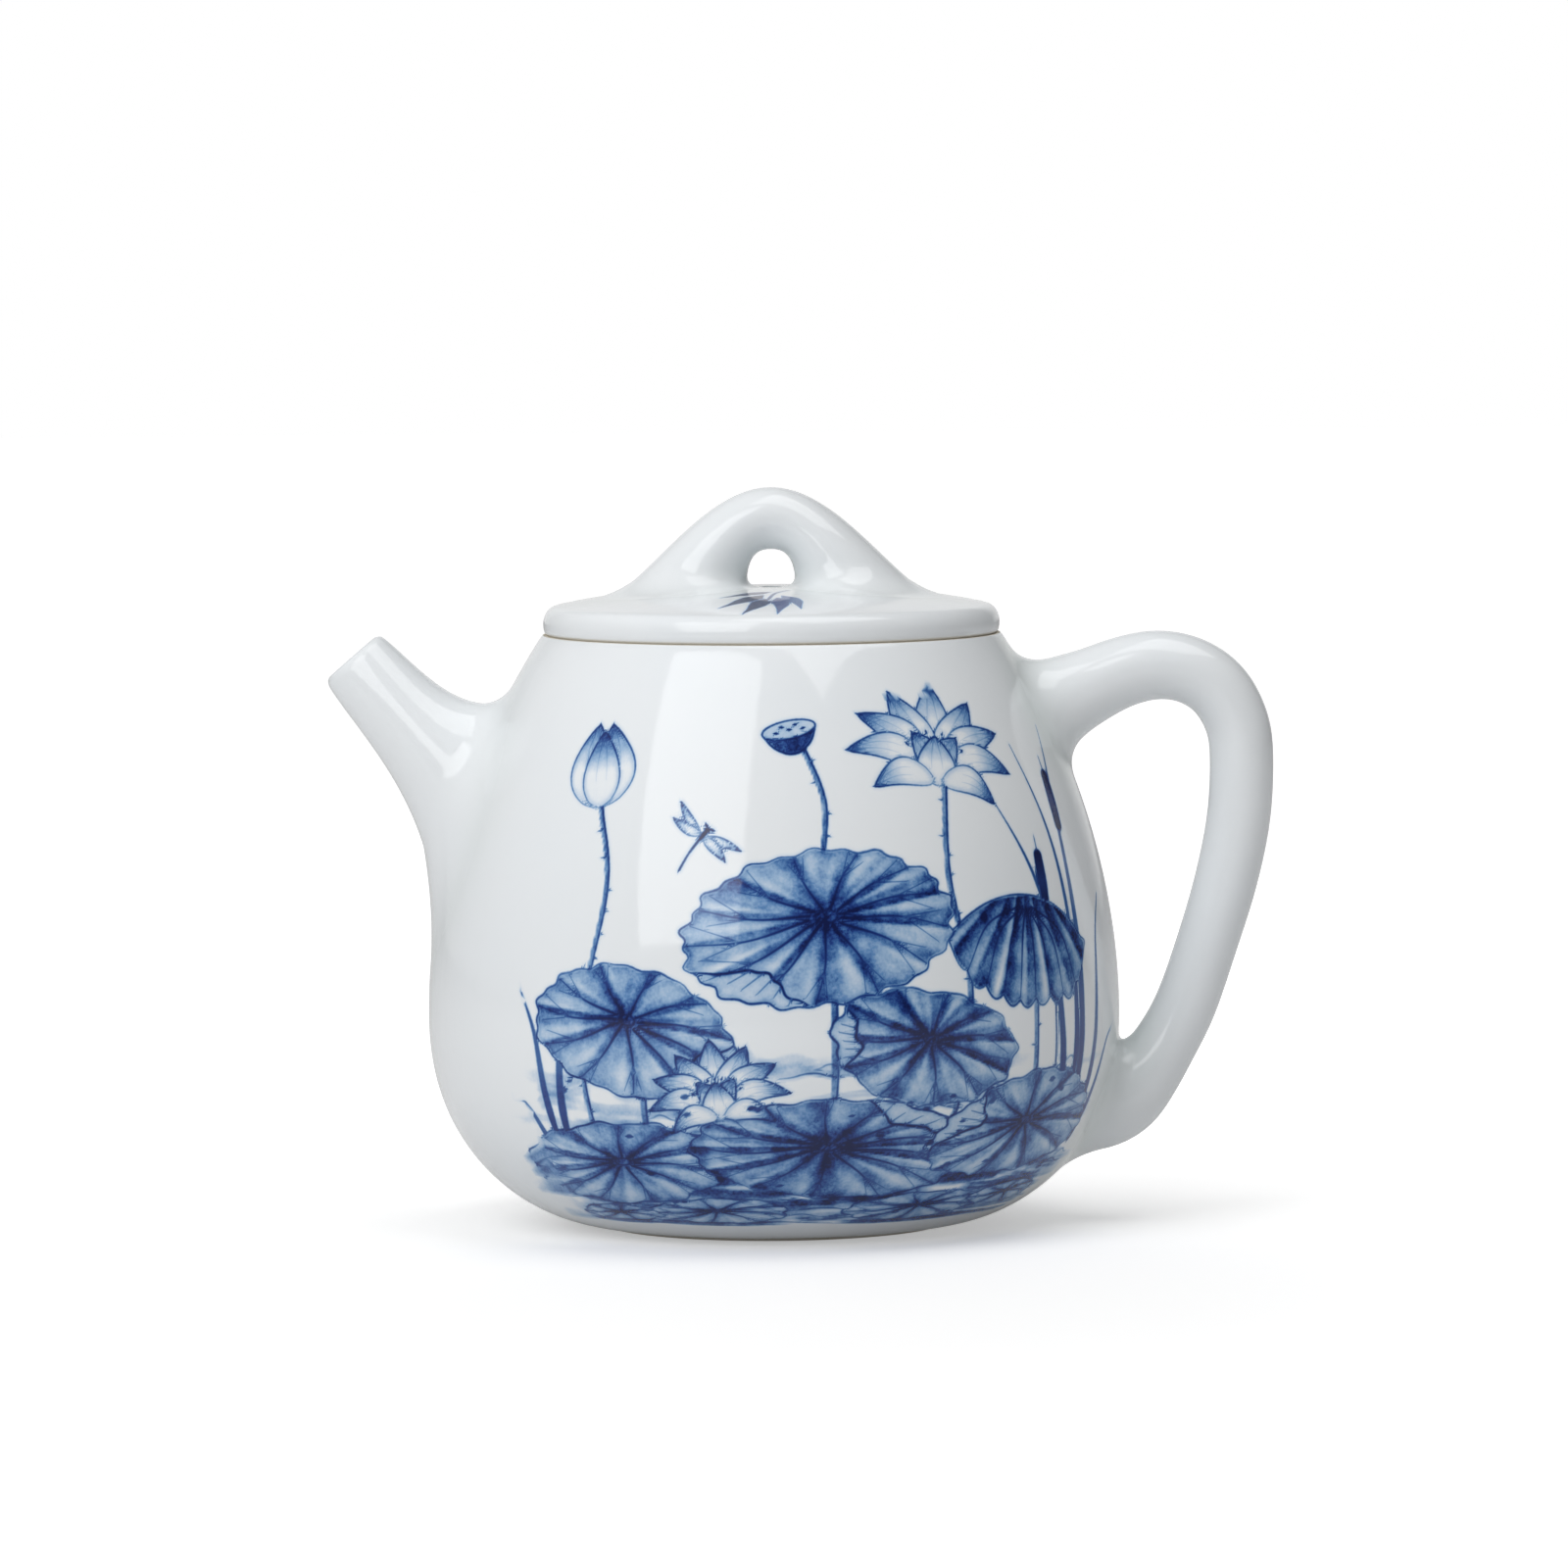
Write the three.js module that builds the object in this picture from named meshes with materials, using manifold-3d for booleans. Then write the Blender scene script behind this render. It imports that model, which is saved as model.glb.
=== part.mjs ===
// Porcelain teapot with a bridge knob on its lid: a pear-shaped pot on a foot ring, a tapered spout with
// a domed strainer behind it, an ear-shaped handle, and a loose lid whose collar drops into the mouth.
// Millimetres, +Z up. The spout points along -X and the handle along +X.
import * as THREE from "three";
import { mergeVertices } from "three/addons/utils/BufferGeometryUtils.js";
import Module from "manifold-3d";

const wasm = await Module();
wasm.setup();

// Driving dimensions of the pot
const rimRadius = 29.2;
const rimHeight = 75.4;
const shoulderAngle = THREE.MathUtils.degToRad(33);
const shoulderReach = 3;
const bellyRadius = 44.1;
const bellyHeight = 26.8;
const bellyUpperReach = 26.3;
const bellyLowerReach = 19;
const baseRadius = 23.2;
const baseReach = 6.5;
const wall = 2.5;
const floorThickness = 2.8;
const rimLand = 4.2;
const mouthDepth = 3;
const rimRounding = 0.35;
const rimCornerReach = 0.14;
const rimWallReach = 0.105;

// Foot ring
const footHeight = 0.5;
const footStep = 1.2;
const footWidth = 3.4;
const footBevel = 0.2;

// Lid
const lidInset = 0.1;
const lidUndercut = 0.8;
const lidRimThickness = 3.9;
const lidTableThickness = 4.7;
const lidTableMargin = 1;
const lidEdgeRadius = 1.8;
const lidEdgeLowBulge = 0.2;
const lidEdgeHighBulge = 0.3;
const lidEdgeLift = 0.3;
const lidLipRise = 0.1;
const lidShelfRise = 0.15;
const lidShelfReach = 2.7;
const lidTableReach = 3.6;
const collarClearance = 0.5;
const collarWall = 2.4;
const collarDepth = 7;
const collarBevel = 0.6;
const ventRadius = 1;

// Bridge knob: its outer rail climbs from the lid over the crown, and its inner rail goes round the eye
const bridgeSpan = 20.5;
const bridgeRise = 13.9;
const rampReachOut = 5.4;
const rampReachUp = 2.7;
const crownReach = 8.2;
const eyeHalfWidth = 3.1;
const eyeHeight = 6.1;
const eyeSideReach = 4.8;
const eyeCrownReach = 2;
const bridgeCrownHalfDepth = 4.6;
const bridgeFootHalfDepth = 6.6;

// Port through the pot's wall, and the strainer dome behind it
const portDrop = 20.4;
const portRadius = 6.4;
const strainerLap = 3;
const strainerWall = 1.6;
const strainerHoleRadius = 1;
const strainerRings = [
  { count: 1, angle: 0 },
  { count: 6, angle: 27 },
  { count: 11, angle: 52 },
];

// Spout: its upper and lower rails in the plane of symmetry are cubic curves from the tip to the pot,
// whose control points stand [out, up] from the port's centre
const spoutUpperRail = [[10.8, 20.5], [7.1, 18], [2, 10.4], [-4.9, 11.8]];
const spoutLowerRail = [[17.6, 14.5], [13.7, 7.9], [5.1, 0.2], [3.9, -14.6]];
const spoutInsideShift = 8;
const spoutTipHalfDepth = 4.2;
const spoutRootHalfDepth = 10;
const spoutLipWall = 1.5;
const spoutRootWall = 3.2;
const spoutLipRounding = 0.5;

// Handle: its centre line in the plane of symmetry runs from the upper root to the lower one. Each
// station's `share` of the way from the lower root up to the upper one is its height. It stands `out`
// from the pot's wall there, and has its full thickness in that plane.
const handleTopDrop = 11.9;
const handleFootHeight = 15.6;
const handleStations = [
  { out: -7.2, share: 1, thickness: 16 },
  { out: -4.6, share: 1.005, thickness: 15.5 },
  { out: -1.3, share: 1.03, thickness: 13.4 },
  { out: 2.7, share: 1.067, thickness: 11.2 },
  { out: 7.5, share: 1.104, thickness: 9.6 },
  { out: 12.2, share: 1.138, thickness: 9 },
  { out: 16.9, share: 1.157, thickness: 8.8 },
  { out: 20.7, share: 1.146, thickness: 8.6 },
  { out: 23.2, share: 1.1, thickness: 8.4 },
  { out: 23.7, share: 1.025, thickness: 8.2 },
  { out: 22.8, share: 0.94, thickness: 8.1 },
  { out: 19.4, share: 0.762, thickness: 8.1 },
  { out: 15.6, share: 0.589, thickness: 8 },
  { out: 11.8, share: 0.418, thickness: 7.8 },
  { out: 8.5, share: 0.25, thickness: 7.9 },
  { out: 6.1, share: 0.146, thickness: 8.2 },
  { out: 4.2, share: 0.069, thickness: 9.3 },
  { out: 2.1, share: 0.015, thickness: 11.4 },
  { out: -0.9, share: -0.004, thickness: 13 },
  { out: -5, share: 0.004, thickness: 14.5 },
];
const handleDepthRatio = 1.12;

// Slip that lutes the spout, handle, strainer and knob on, drawn as a gap
const slipGap = 0.3;

// Fineness of the curved surfaces
const turnSteps = 52;
const outerSteps = 11;
const innerSteps = 7;
const ringSteps = 20;
const railSteps = 12;
const handleRows = 30;
const bridgeRows = 24;
const rimSteps = 4;
const edgeSteps = 7;
const shelfSteps = 5;
const domeSteps = 24;
const holeSides = 6;

// Heights and radii that follow from the sizes above
const mouthRadius = rimRadius - rimLand;
const footOuterRadius = baseRadius - footStep;
const footInnerRadius = footOuterRadius - footWidth;
const floorHeight = footHeight + floorThickness;
const lidRadius = rimRadius - lidInset;
const lidSeatRadius = lidRadius - lidUndercut;
const lidSeatHeight = rimHeight;
const lidTableHeight = lidSeatHeight + lidTableThickness;
const lidRimHeight = lidSeatHeight + lidRimThickness;
const lidTableRadius = bridgeSpan + lidTableMargin;
const collarRadius = mouthRadius - collarClearance;
const portHeight = rimHeight - portDrop;
const handleTopHeight = rimHeight - handleTopDrop;
const strainerRadius = portRadius + strainerLap;

const glaze = { color: 0xe6ecee, roughness: 0.12, metalness: 0 };
const biscuit = { color: 0xd9d2c4, roughness: 0.7, metalness: 0 };

// Points of a cubic curve in the (radius, height) plane
function cubic(start, startControl, endControl, end, steps) {
  const [a, b, c, d] = [start, startControl, endControl, end].map((p) => new THREE.Vector2(...p));
  return new THREE.CubicBezierCurve(a, b, c, d).getPoints(steps);
}

// The pot's outer profile from the rim down to its base, moved outwards by an offset
function outerProfile(offset = 0) {
  const along = [Math.sin(shoulderAngle), -Math.cos(shoulderAngle)];
  const rim = [rimRadius + offset, rimHeight + offset];
  const belly = [bellyRadius + offset, bellyHeight];
  const base = [baseRadius + offset, footHeight - offset];
  const upper = cubic(
    rim,
    [rim[0] + shoulderReach * along[0], rim[1] + shoulderReach * along[1]],
    [belly[0], belly[1] + bellyUpperReach],
    belly,
    outerSteps,
  );
  const turn = [belly[0], belly[1] - bellyLowerReach];
  const lower = cubic(belly, turn, [base[0] + baseReach, base[1]], base, outerSteps);
  return [...upper, ...lower.slice(1)];
}

// The cavity's profile from the mouth down to the floor, moved inwards by an offset
function innerProfile(offset = 0) {
  const along = [Math.sin(shoulderAngle), -Math.cos(shoulderAngle)];
  const neck = [mouthRadius - offset, rimHeight - mouthDepth];
  const belly = [bellyRadius - wall - offset, bellyHeight];
  const floor = [baseRadius - wall - offset, floorHeight + offset];
  const upper = cubic(
    neck,
    [neck[0] + shoulderReach * along[0], neck[1] + shoulderReach * along[1]],
    [belly[0], belly[1] + bellyUpperReach],
    belly,
    innerSteps,
  );
  const turn = [belly[0], belly[1] - bellyLowerReach];
  const lower = cubic(belly, turn, [floor[0] + baseReach, floor[1]], floor, innerSteps);
  return [...upper, ...lower.slice(1)];
}

// Radius of a profile at a height, and its outward normal there
function radiusAt(profile, height) {
  for (let i = 1; i < profile.length; i++) {
    const [p, q] = [profile[i - 1], profile[i]];
    const inside = (height - p.y) * (height - q.y) <= 0 && p.y !== q.y;
    if (inside) {
      const share = (height - p.y) / (q.y - p.y);
      const normal = new THREE.Vector2(p.y - q.y, q.x - p.x).normalize();
      return { radius: THREE.MathUtils.lerp(p.x, q.x, share), normal };
    }
  }
  throw new Error(`the profile has no point at height ${height}`);
}

// A solid of revolution about the pot's axis
function turned(profile) {
  const points = profile.map((p) => (p.isVector2 ? p : new THREE.Vector2(...p)));
  return new THREE.LatheGeometry(points, turnSteps).rotateX(Math.PI / 2);
}

// A closed surface through rings of equal size, with a fan over each end
function lofted(rings) {
  const size = rings[0].length;
  const corners = rings.flat();
  const centres = [rings[0], rings[rings.length - 1]].map((ring) =>
    ring.reduce((sum, p) => sum.add(p), new THREE.Vector3()).divideScalar(size),
  );
  const index = [];
  for (let r = 0; r + 1 < rings.length; r++) {
    for (let s = 0; s < size; s++) {
      const next = (s + 1) % size;
      const [a, b, c, d] = [r * size + s, r * size + next, (r + 1) * size + s, (r + 1) * size + next];
      index.push(a, b, c, b, d, c);
    }
  }
  const last = (rings.length - 1) * size;
  for (let s = 0; s < size; s++) {
    const next = (s + 1) % size;
    index.push(corners.length, next, s);
    index.push(corners.length + 1, last + s, last + next);
  }
  const geometry = new THREE.BufferGeometry().setFromPoints([...corners, ...centres]);
  geometry.setIndex(index);
  return geometry;
}

// An oval ring that spans two points of the plane of symmetry and is `halfDepth` deep each way along Y
function oval(from, to, halfDepth) {
  const centre = new THREE.Vector3().addVectors(from, to).multiplyScalar(0.5);
  const half = new THREE.Vector3().subVectors(to, from).multiplyScalar(0.5);
  return Array.from({ length: ringSteps }, (_, s) => {
    const angle = (2 * Math.PI * s) / ringSteps;
    const point = centre.clone().addScaledVector(half, Math.cos(angle));
    point.y += halfDepth * Math.sin(angle);
    return point;
  });
}

// Solids for cutting and joining, and back to a geometry
function solidOf(geometry) {
  const bare = geometry.clone();
  bare.deleteAttribute("normal");
  bare.deleteAttribute("uv");
  const merged = mergeVertices(bare, 1e-4);
  const triVerts = new Uint32Array(merged.index.array);
  const made = new wasm.Manifold(
    new wasm.Mesh({ numProp: 3, vertProperties: merged.attributes.position.array, triVerts }),
  );
  if (made.volume() > 0) return made;
  for (let i = 0; i < triVerts.length; i += 3) {
    [triVerts[i + 1], triVerts[i + 2]] = [triVerts[i + 2], triVerts[i + 1]];
  }
  return new wasm.Manifold(
    new wasm.Mesh({ numProp: 3, vertProperties: merged.attributes.position.array, triVerts }),
  );
}

function geometryOf(solid) {
  const { numProp, vertProperties, triVerts } = solid.getMesh();
  const positions = new Float32Array((vertProperties.length / numProp) * 3);
  for (let i = 0; i < positions.length / 3; i++) {
    positions.set(vertProperties.subarray(i * numProp, i * numProp + 3), i * 3);
  }
  const geometry = new THREE.BufferGeometry();
  geometry.setAttribute("position", new THREE.BufferAttribute(positions, 3));
  geometry.setIndex(new THREE.BufferAttribute(triVerts, 1));
  geometry.computeVertexNormals();
  return geometry;
}

// A point of the plane of symmetry
const inPlane = ([x, z]) => new THREE.Vector3(x, 0, z);

// The port's centre on the pot's outside, and the way into the pot square to the wall
function portFrame() {
  const { radius, normal } = radiusAt(outerProfile(), portHeight);
  const inward = new THREE.Vector3(Math.abs(normal.x), 0, -Math.abs(normal.y));
  return { centre: new THREE.Vector3(-radius, 0, portHeight), inward };
}

// A round bar between two distances along a direction from a point
function bar(radius, origin, direction, from, to, sides) {
  const geometry = new THREE.CylinderGeometry(radius, radius, to - from, sides);
  const turn = new THREE.Quaternion().setFromUnitVectors(new THREE.Vector3(0, 1, 0), direction);
  const middle = origin.clone().addScaledVector(direction, (from + to) / 2);
  return geometry.applyQuaternion(turn).translate(middle.x, middle.y, middle.z);
}

// Pot: a thrown wall with its floor, cut through at the port
function potBody() {
  const outside = outerProfile();
  const rim = outside[0];
  const seatEdge = rim.x - rimRounding;
  const roundedRim = cubic(
    [seatEdge, rimHeight],
    [rim.x - rimCornerReach, rimHeight],
    [rim.x, rimHeight - rimWallReach],
    [radiusAt(outside, rimHeight - rimRounding).radius, rimHeight - rimRounding],
    rimSteps,
  );
  const below = outside.filter((p) => p.y < rimHeight - rimRounding);
  const profile = [
    [0, footHeight],
    ...below.reverse(),
    ...roundedRim.reverse(),
    [mouthRadius, rimHeight],
    ...innerProfile(),
    [0, floorHeight],
  ];
  const { centre, inward } = portFrame();
  const port = bar(portRadius, centre, inward, -3 * wall, 4 * wall, domeSteps);
  return geometryOf(solidOf(turned(profile)).subtract(solidOf(port)));
}

// Foot: the ring left unglazed, on which the pot stands
function footRing() {
  return turned([
    [footInnerRadius + footBevel, 0],
    [footOuterRadius - footBevel, 0],
    [footOuterRadius, footBevel],
    [footOuterRadius, footHeight],
    [footInnerRadius, footHeight],
    [footInnerRadius, footBevel],
    [footInnerRadius + footBevel, 0],
  ]);
}

// The pot's outside grown by the slip, which the luted-on pieces are cut back to
function grownPot() {
  const skin = outerProfile(slipGap).reverse();
  return solidOf(turned([[0, skin[0].y], ...skin, [0, rimHeight + slipGap]]));
}

// The spout's rings between its rails, drawn in by the wall for its bore, then on into the pot
function spoutRings(isBore) {
  const { centre, inward } = portFrame();
  const railOf = (points) => {
    const [a, b, c, d] = points.map(([out, up]) => centre.clone().add(inPlane([-out, up])));
    return new THREE.CubicBezierCurve3(a, b, c, d);
  };
  const upper = railOf(spoutUpperRail);
  const lower = railOf(spoutLowerRail);
  const rings = [];
  for (let i = 0; i <= railSteps; i++) {
    const t = i / railSteps;
    const top = upper.getPoint(t);
    const bottom = lower.getPoint(t);
    const across = new THREE.Vector3().subVectors(bottom, top).normalize();
    const inset = isBore ? THREE.MathUtils.lerp(spoutLipWall, spoutRootWall, t) : 0;
    top.addScaledVector(across, inset);
    bottom.addScaledVector(across, -inset);
    const halfDepth = THREE.MathUtils.lerp(spoutTipHalfDepth, spoutRootHalfDepth, t) - inset;
    rings.push(oval(top, bottom, halfDepth));
  }
  rings.push(rings[railSteps].map((p) => p.clone().addScaledVector(inward, spoutInsideShift)));
  return rings;
}

// The middle of a ring
const middleOf = (ring) =>
  ring.reduce((sum, p) => sum.add(p), new THREE.Vector3()).divideScalar(ring.length);

// Rings with one more beyond the first, pushed out along the spout and scaled about its middle
function extendedTip(rings, distance, scale) {
  const outward = middleOf(rings[0]).sub(middleOf(rings[1])).normalize();
  const middle = middleOf(rings[0]).addScaledVector(outward, distance);
  const shift = outward.multiplyScalar(distance);
  return [rings[0].map((p) => middle.clone().lerp(p.clone().add(shift), scale)), ...rings];
}

// Spout: a tapered tube that flares where it is luted to the pot
function spout() {
  const roundedScale = 1 - spoutLipRounding / spoutTipHalfDepth;
  const skin = solidOf(lofted(extendedTip(spoutRings(false), spoutLipRounding, roundedScale)));
  const bore = solidOf(lofted(extendedTip(spoutRings(true), 3 * spoutLipRounding, 1)));
  return geometryOf(skin.subtract(bore).subtract(grownPot()));
}

// Strainer: a pierced dome luted over the port on the inside of the wall
function strainer() {
  const { centre, inward } = portFrame();
  const seat = centre.clone().addScaledVector(inward, wall);
  const ball = (radius) =>
    solidOf(new THREE.SphereGeometry(radius, domeSteps, domeSteps / 2).translate(seat.x, seat.y, seat.z));
  const shell = ball(strainerRadius).subtract(ball(strainerRadius - strainerWall));
  const cavity = solidOf(
    turned([[0, floorHeight + slipGap], ...innerProfile(slipGap).reverse(), [0, rimHeight - mouthDepth]]),
  );
  const side = new THREE.Vector3(0, 1, 0);
  const up = new THREE.Vector3().crossVectors(inward, side);
  let dome = shell.intersect(cavity);
  for (const { count, angle } of strainerRings) {
    const tilt = THREE.MathUtils.degToRad(angle);
    for (let i = 0; i < count; i++) {
      const turn = (2 * Math.PI * i) / count;
      const direction = inward
        .clone()
        .multiplyScalar(Math.cos(tilt))
        .addScaledVector(side, Math.sin(tilt) * Math.cos(turn))
        .addScaledVector(up, Math.sin(tilt) * Math.sin(turn));
      const hole = bar(
        strainerHoleRadius,
        seat,
        direction,
        strainerRadius - 2 * strainerWall,
        strainerRadius + strainerWall,
        holeSides,
      );
      dome = dome.subtract(solidOf(hole));
    }
  }
  return geometryOf(dome);
}

// The handle's stations as places in the plane of symmetry
function handleLine() {
  const skin = outerProfile();
  return handleStations.map(({ out, share }) => {
    const z = THREE.MathUtils.lerp(handleFootHeight, handleTopHeight, share);
    return inPlane([radiusAt(skin, z).radius + out, z]);
  });
}

// Handle: an oval bar along its centre line, thicker at both roots
function handle() {
  const line = new THREE.CatmullRomCurve3(handleLine(), false, "centripetal");
  const last = handleStations.length - 1;
  const rings = [];
  for (let i = 0; i <= handleRows; i++) {
    const t = i / handleRows;
    const before = Math.min(Math.floor(t * last), last - 1);
    const [here, next] = [handleStations[before], handleStations[before + 1]];
    const thickness = THREE.MathUtils.lerp(here.thickness, next.thickness, t * last - before);
    const centre = line.getPoint(t);
    const along = line.getTangent(t);
    const half = new THREE.Vector3(-along.z, 0, along.x).multiplyScalar(thickness / 2);
    const outer = centre.clone().add(half);
    const inner = centre.clone().sub(half);
    rings.push(oval(outer, inner, (handleDepthRatio * thickness) / 2));
  }
  return geometryOf(solidOf(lofted(rings)).subtract(grownPot()));
}

// Lid plate: a disc with a rounded edge and a low table, pierced by the vent
function lidPlate() {
  const lip = [lidRadius - lidEdgeRadius, lidRimHeight + lidLipRise];
  const edge = cubic(
    [lidSeatRadius, lidSeatHeight],
    [lidRadius + lidEdgeLowBulge, lidSeatHeight + lidEdgeLift],
    [lidRadius + lidEdgeHighBulge, lidRimHeight],
    lip,
    edgeSteps,
  );
  const shelf = cubic(
    lip,
    [lip[0] - lidShelfReach, lidRimHeight + lidShelfRise],
    [lidTableRadius + lidTableReach, lidTableHeight],
    [lidTableRadius, lidTableHeight],
    shelfSteps,
  );
  return turned([
    [ventRadius, lidSeatHeight],
    ...edge,
    ...shelf.slice(1),
    [ventRadius, lidTableHeight],
    [ventRadius, lidSeatHeight],
  ]);
}

// Lid collar: the ring under the plate that keeps the lid in the mouth
function lidCollar() {
  const bottom = lidSeatHeight - collarDepth;
  const inner = collarRadius - collarWall;
  return turned([
    [inner + collarBevel, bottom],
    [collarRadius - collarBevel, bottom],
    [collarRadius, bottom + collarBevel],
    [collarRadius, lidSeatHeight],
    [inner, lidSeatHeight],
    [inner, bottom + collarBevel],
    [inner + collarBevel, bottom],
  ]);
}

// Bridge knob: an arch whose rings turn from one foot over the crown to the other
function lidBridge() {
  const half = (side) => {
    const outer = new THREE.CubicBezierCurve3(
      inPlane([side * bridgeSpan, 0]),
      inPlane([side * (bridgeSpan - rampReachOut), rampReachUp]),
      inPlane([side * crownReach, bridgeRise]),
      inPlane([0, bridgeRise]),
    );
    const inner = new THREE.CubicBezierCurve3(
      inPlane([side * eyeHalfWidth, 0]),
      inPlane([side * eyeHalfWidth, eyeSideReach]),
      inPlane([side * eyeCrownReach, eyeHeight]),
      inPlane([0, eyeHeight]),
    );
    return { outer, inner };
  };
  const [left, right] = [half(-1), half(1)];
  const rings = [];
  for (let i = 0; i <= bridgeRows; i++) {
    const turn = (2 * i) / bridgeRows;
    const { outer, inner } = turn <= 1 ? left : right;
    const t = turn <= 1 ? turn : 2 - turn;
    const climb = Math.sin((t * Math.PI) / 2);
    const halfDepth = THREE.MathUtils.lerp(bridgeFootHalfDepth, bridgeCrownHalfDepth, climb);
    rings.push(oval(outer.getPoint(t), inner.getPoint(t), halfDepth));
  }
  return lofted(rings).translate(0, 0, lidTableHeight);
}

function piece(name, geometry, finish) {
  const mesh = new THREE.Mesh(geometry, new THREE.MeshStandardMaterial(finish));
  mesh.name = name;
  return mesh;
}

const pot = new THREE.Group();
pot.add(
  piece("pot_body", potBody(), glaze),
  piece("foot_ring", footRing(), biscuit),
  piece("spout", spout(), glaze),
  piece("strainer", strainer(), glaze),
  piece("handle", handle(), glaze),
);

const lid = new THREE.Group();
lid.add(
  piece("lid_plate", lidPlate(), glaze),
  piece("lid_collar", lidCollar(), biscuit),
  piece("lid_bridge", lidBridge(), glaze),
);

// The spout and the handle reach unequally far, so the pot's axis stands off the origin, which is the
// middle of the footprint.
const teapot = new THREE.Group();
teapot.add(pot, lid);
const extent = new THREE.Box3().setFromObject(teapot);
teapot.position.x = -(extent.min.x + extent.max.x) / 2;

export default teapot;
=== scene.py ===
# %% [markdown]
# # A small porcelain teapot painted in cobalt blue
#
# The teapot is a pear-shaped pot on a low foot ring, with a tapered spout, an ear-shaped handle and a loose
# lid whose knob is a little bridge. Everything is white porcelain under a clear, glossy glaze, and a lotus
# pond is painted in blue beneath the glaze on the front.
#
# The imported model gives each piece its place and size. Here every piece is modelled again with a fine
# surface, because glaze shows every flat facet, and then the glaze, the painting and the light are made.

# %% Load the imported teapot
import math

import bmesh
import bpy
import numpy as np
from mathutils import Matrix, Quaternion, Vector


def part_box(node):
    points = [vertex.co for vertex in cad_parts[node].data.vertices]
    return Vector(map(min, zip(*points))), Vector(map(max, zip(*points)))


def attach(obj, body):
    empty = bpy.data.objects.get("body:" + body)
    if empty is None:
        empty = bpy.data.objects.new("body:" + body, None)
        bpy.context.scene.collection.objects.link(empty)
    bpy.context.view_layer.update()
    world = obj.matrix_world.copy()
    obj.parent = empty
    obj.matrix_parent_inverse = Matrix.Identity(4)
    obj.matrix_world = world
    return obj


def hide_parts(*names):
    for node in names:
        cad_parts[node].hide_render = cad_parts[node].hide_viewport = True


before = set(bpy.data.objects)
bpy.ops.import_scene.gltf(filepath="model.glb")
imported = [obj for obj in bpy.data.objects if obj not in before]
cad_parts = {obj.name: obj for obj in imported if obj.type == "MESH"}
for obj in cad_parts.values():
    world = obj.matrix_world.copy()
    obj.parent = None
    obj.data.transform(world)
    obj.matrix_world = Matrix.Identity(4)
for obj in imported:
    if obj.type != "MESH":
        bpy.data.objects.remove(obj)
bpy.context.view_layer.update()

# %% [markdown]
# ## Sizes
#
# Lengths below are millimetres from the pot's own upright axis, which stands a little off the origin.
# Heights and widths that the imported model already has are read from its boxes.

# %% Read the main sizes
MM = 0.001
pot_low, pot_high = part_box("pot_body")
lid_low, lid_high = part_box("lid_plate")
bridge_low, bridge_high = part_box("lid_bridge")
AXIS_X = (lid_low.x + lid_high.x) / 2
RIM_HEIGHT = lid_low.z / MM
BASE_HEIGHT = pot_low.z / MM
BELLY_RADIUS = pot_high.y / MM
LID_RADIUS = lid_high.y / MM
TABLE_HEIGHT = bridge_low.z / MM
CROWN_HEIGHT = bridge_high.z / MM
print(f"rim {RIM_HEIGHT:.1f}, belly {BELLY_RADIUS:.1f}, table {TABLE_HEIGHT:.1f}, top {CROWN_HEIGHT:.1f}")


def place(x, y, z):
    """A point in metres from millimetres about the pot's axis."""
    return Vector((AXIS_X + x * MM, y * MM, z * MM))


def add_object(name, data):
    """Links a new object that shows the given data."""
    item = bpy.data.objects.new(name, data)
    bpy.context.scene.collection.objects.link(item)
    return item


# %% [markdown]
# ## Camera
#
# The photograph looks at the pot from far away and a little above, so a long lens stands about 1.3 m off.
# One millimetre at the pot's axis is eight pixels of a picture 1600 pixels wide, which gives the lens.

# %% Set up the camera
PICTURE_PIXELS = 1600
PIXELS_PER_MM = 8.0
SENSOR_WIDTH = 36.0
CAMERA_AT = (1.47, -1280.0, 144.0)
CAMERA_AIM = (1.47, 0.0, 56.1)
CAMERA_ROLL = math.radians(-0.4)

sight = place(*CAMERA_AIM) - place(*CAMERA_AT)
camera = add_object("camera", bpy.data.cameras.new("camera"))
camera.data.sensor_width = SENSOR_WIDTH
camera.data.lens = SENSOR_WIDTH * PIXELS_PER_MM * sight.length / MM / PICTURE_PIXELS
camera.data.clip_end = 20.0
camera.location = place(*CAMERA_AT)
look = sight.to_track_quat("-Z", "Y").to_matrix()
camera.rotation_euler = (look @ Matrix.Rotation(CAMERA_ROLL, 3, "Z")).to_euler()
bpy.context.scene.camera = camera
print(f"lens {camera.data.lens:.1f} mm")

# %% [markdown]
# ## Profiles
#
# A thrown pot is a shape of revolution, so its whole form is one curve from the rim to the base. Two cubic
# curves that meet upright at the belly give it, with few numbers and no flat spots.

# %% Draw the pot's profiles
SHOULDER_ANGLE = math.radians(33)
SHOULDER_REACH = 3.0
RIM_RADIUS = 29.2
MOUTH_RADIUS = 25.0
MOUTH_DEPTH = 3.0
BELLY_HEIGHT = 26.8
UPPER_REACH = 26.3
LOWER_REACH = 19.0
BASE_RADIUS = 23.2
BASE_REACH = 6.5
WALL = 2.5
FLOOR_HEIGHT = BASE_HEIGHT + 2.8
PROFILE_STEPS = 120


def cubic_at(points, t):
    """Points of a cubic curve, from its four control points, at shares `t` along it."""
    a, b, c, d = (np.array(p, float) for p in points)
    t = t[:, None]
    return (1 - t) ** 3 * a + 3 * (1 - t) ** 2 * t * b + 3 * (1 - t) * t**2 * c + t**3 * d


def cubic(points, steps):
    """A whole cubic curve in a number of steps."""
    return cubic_at(points, np.linspace(0, 1, steps + 1))


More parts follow.
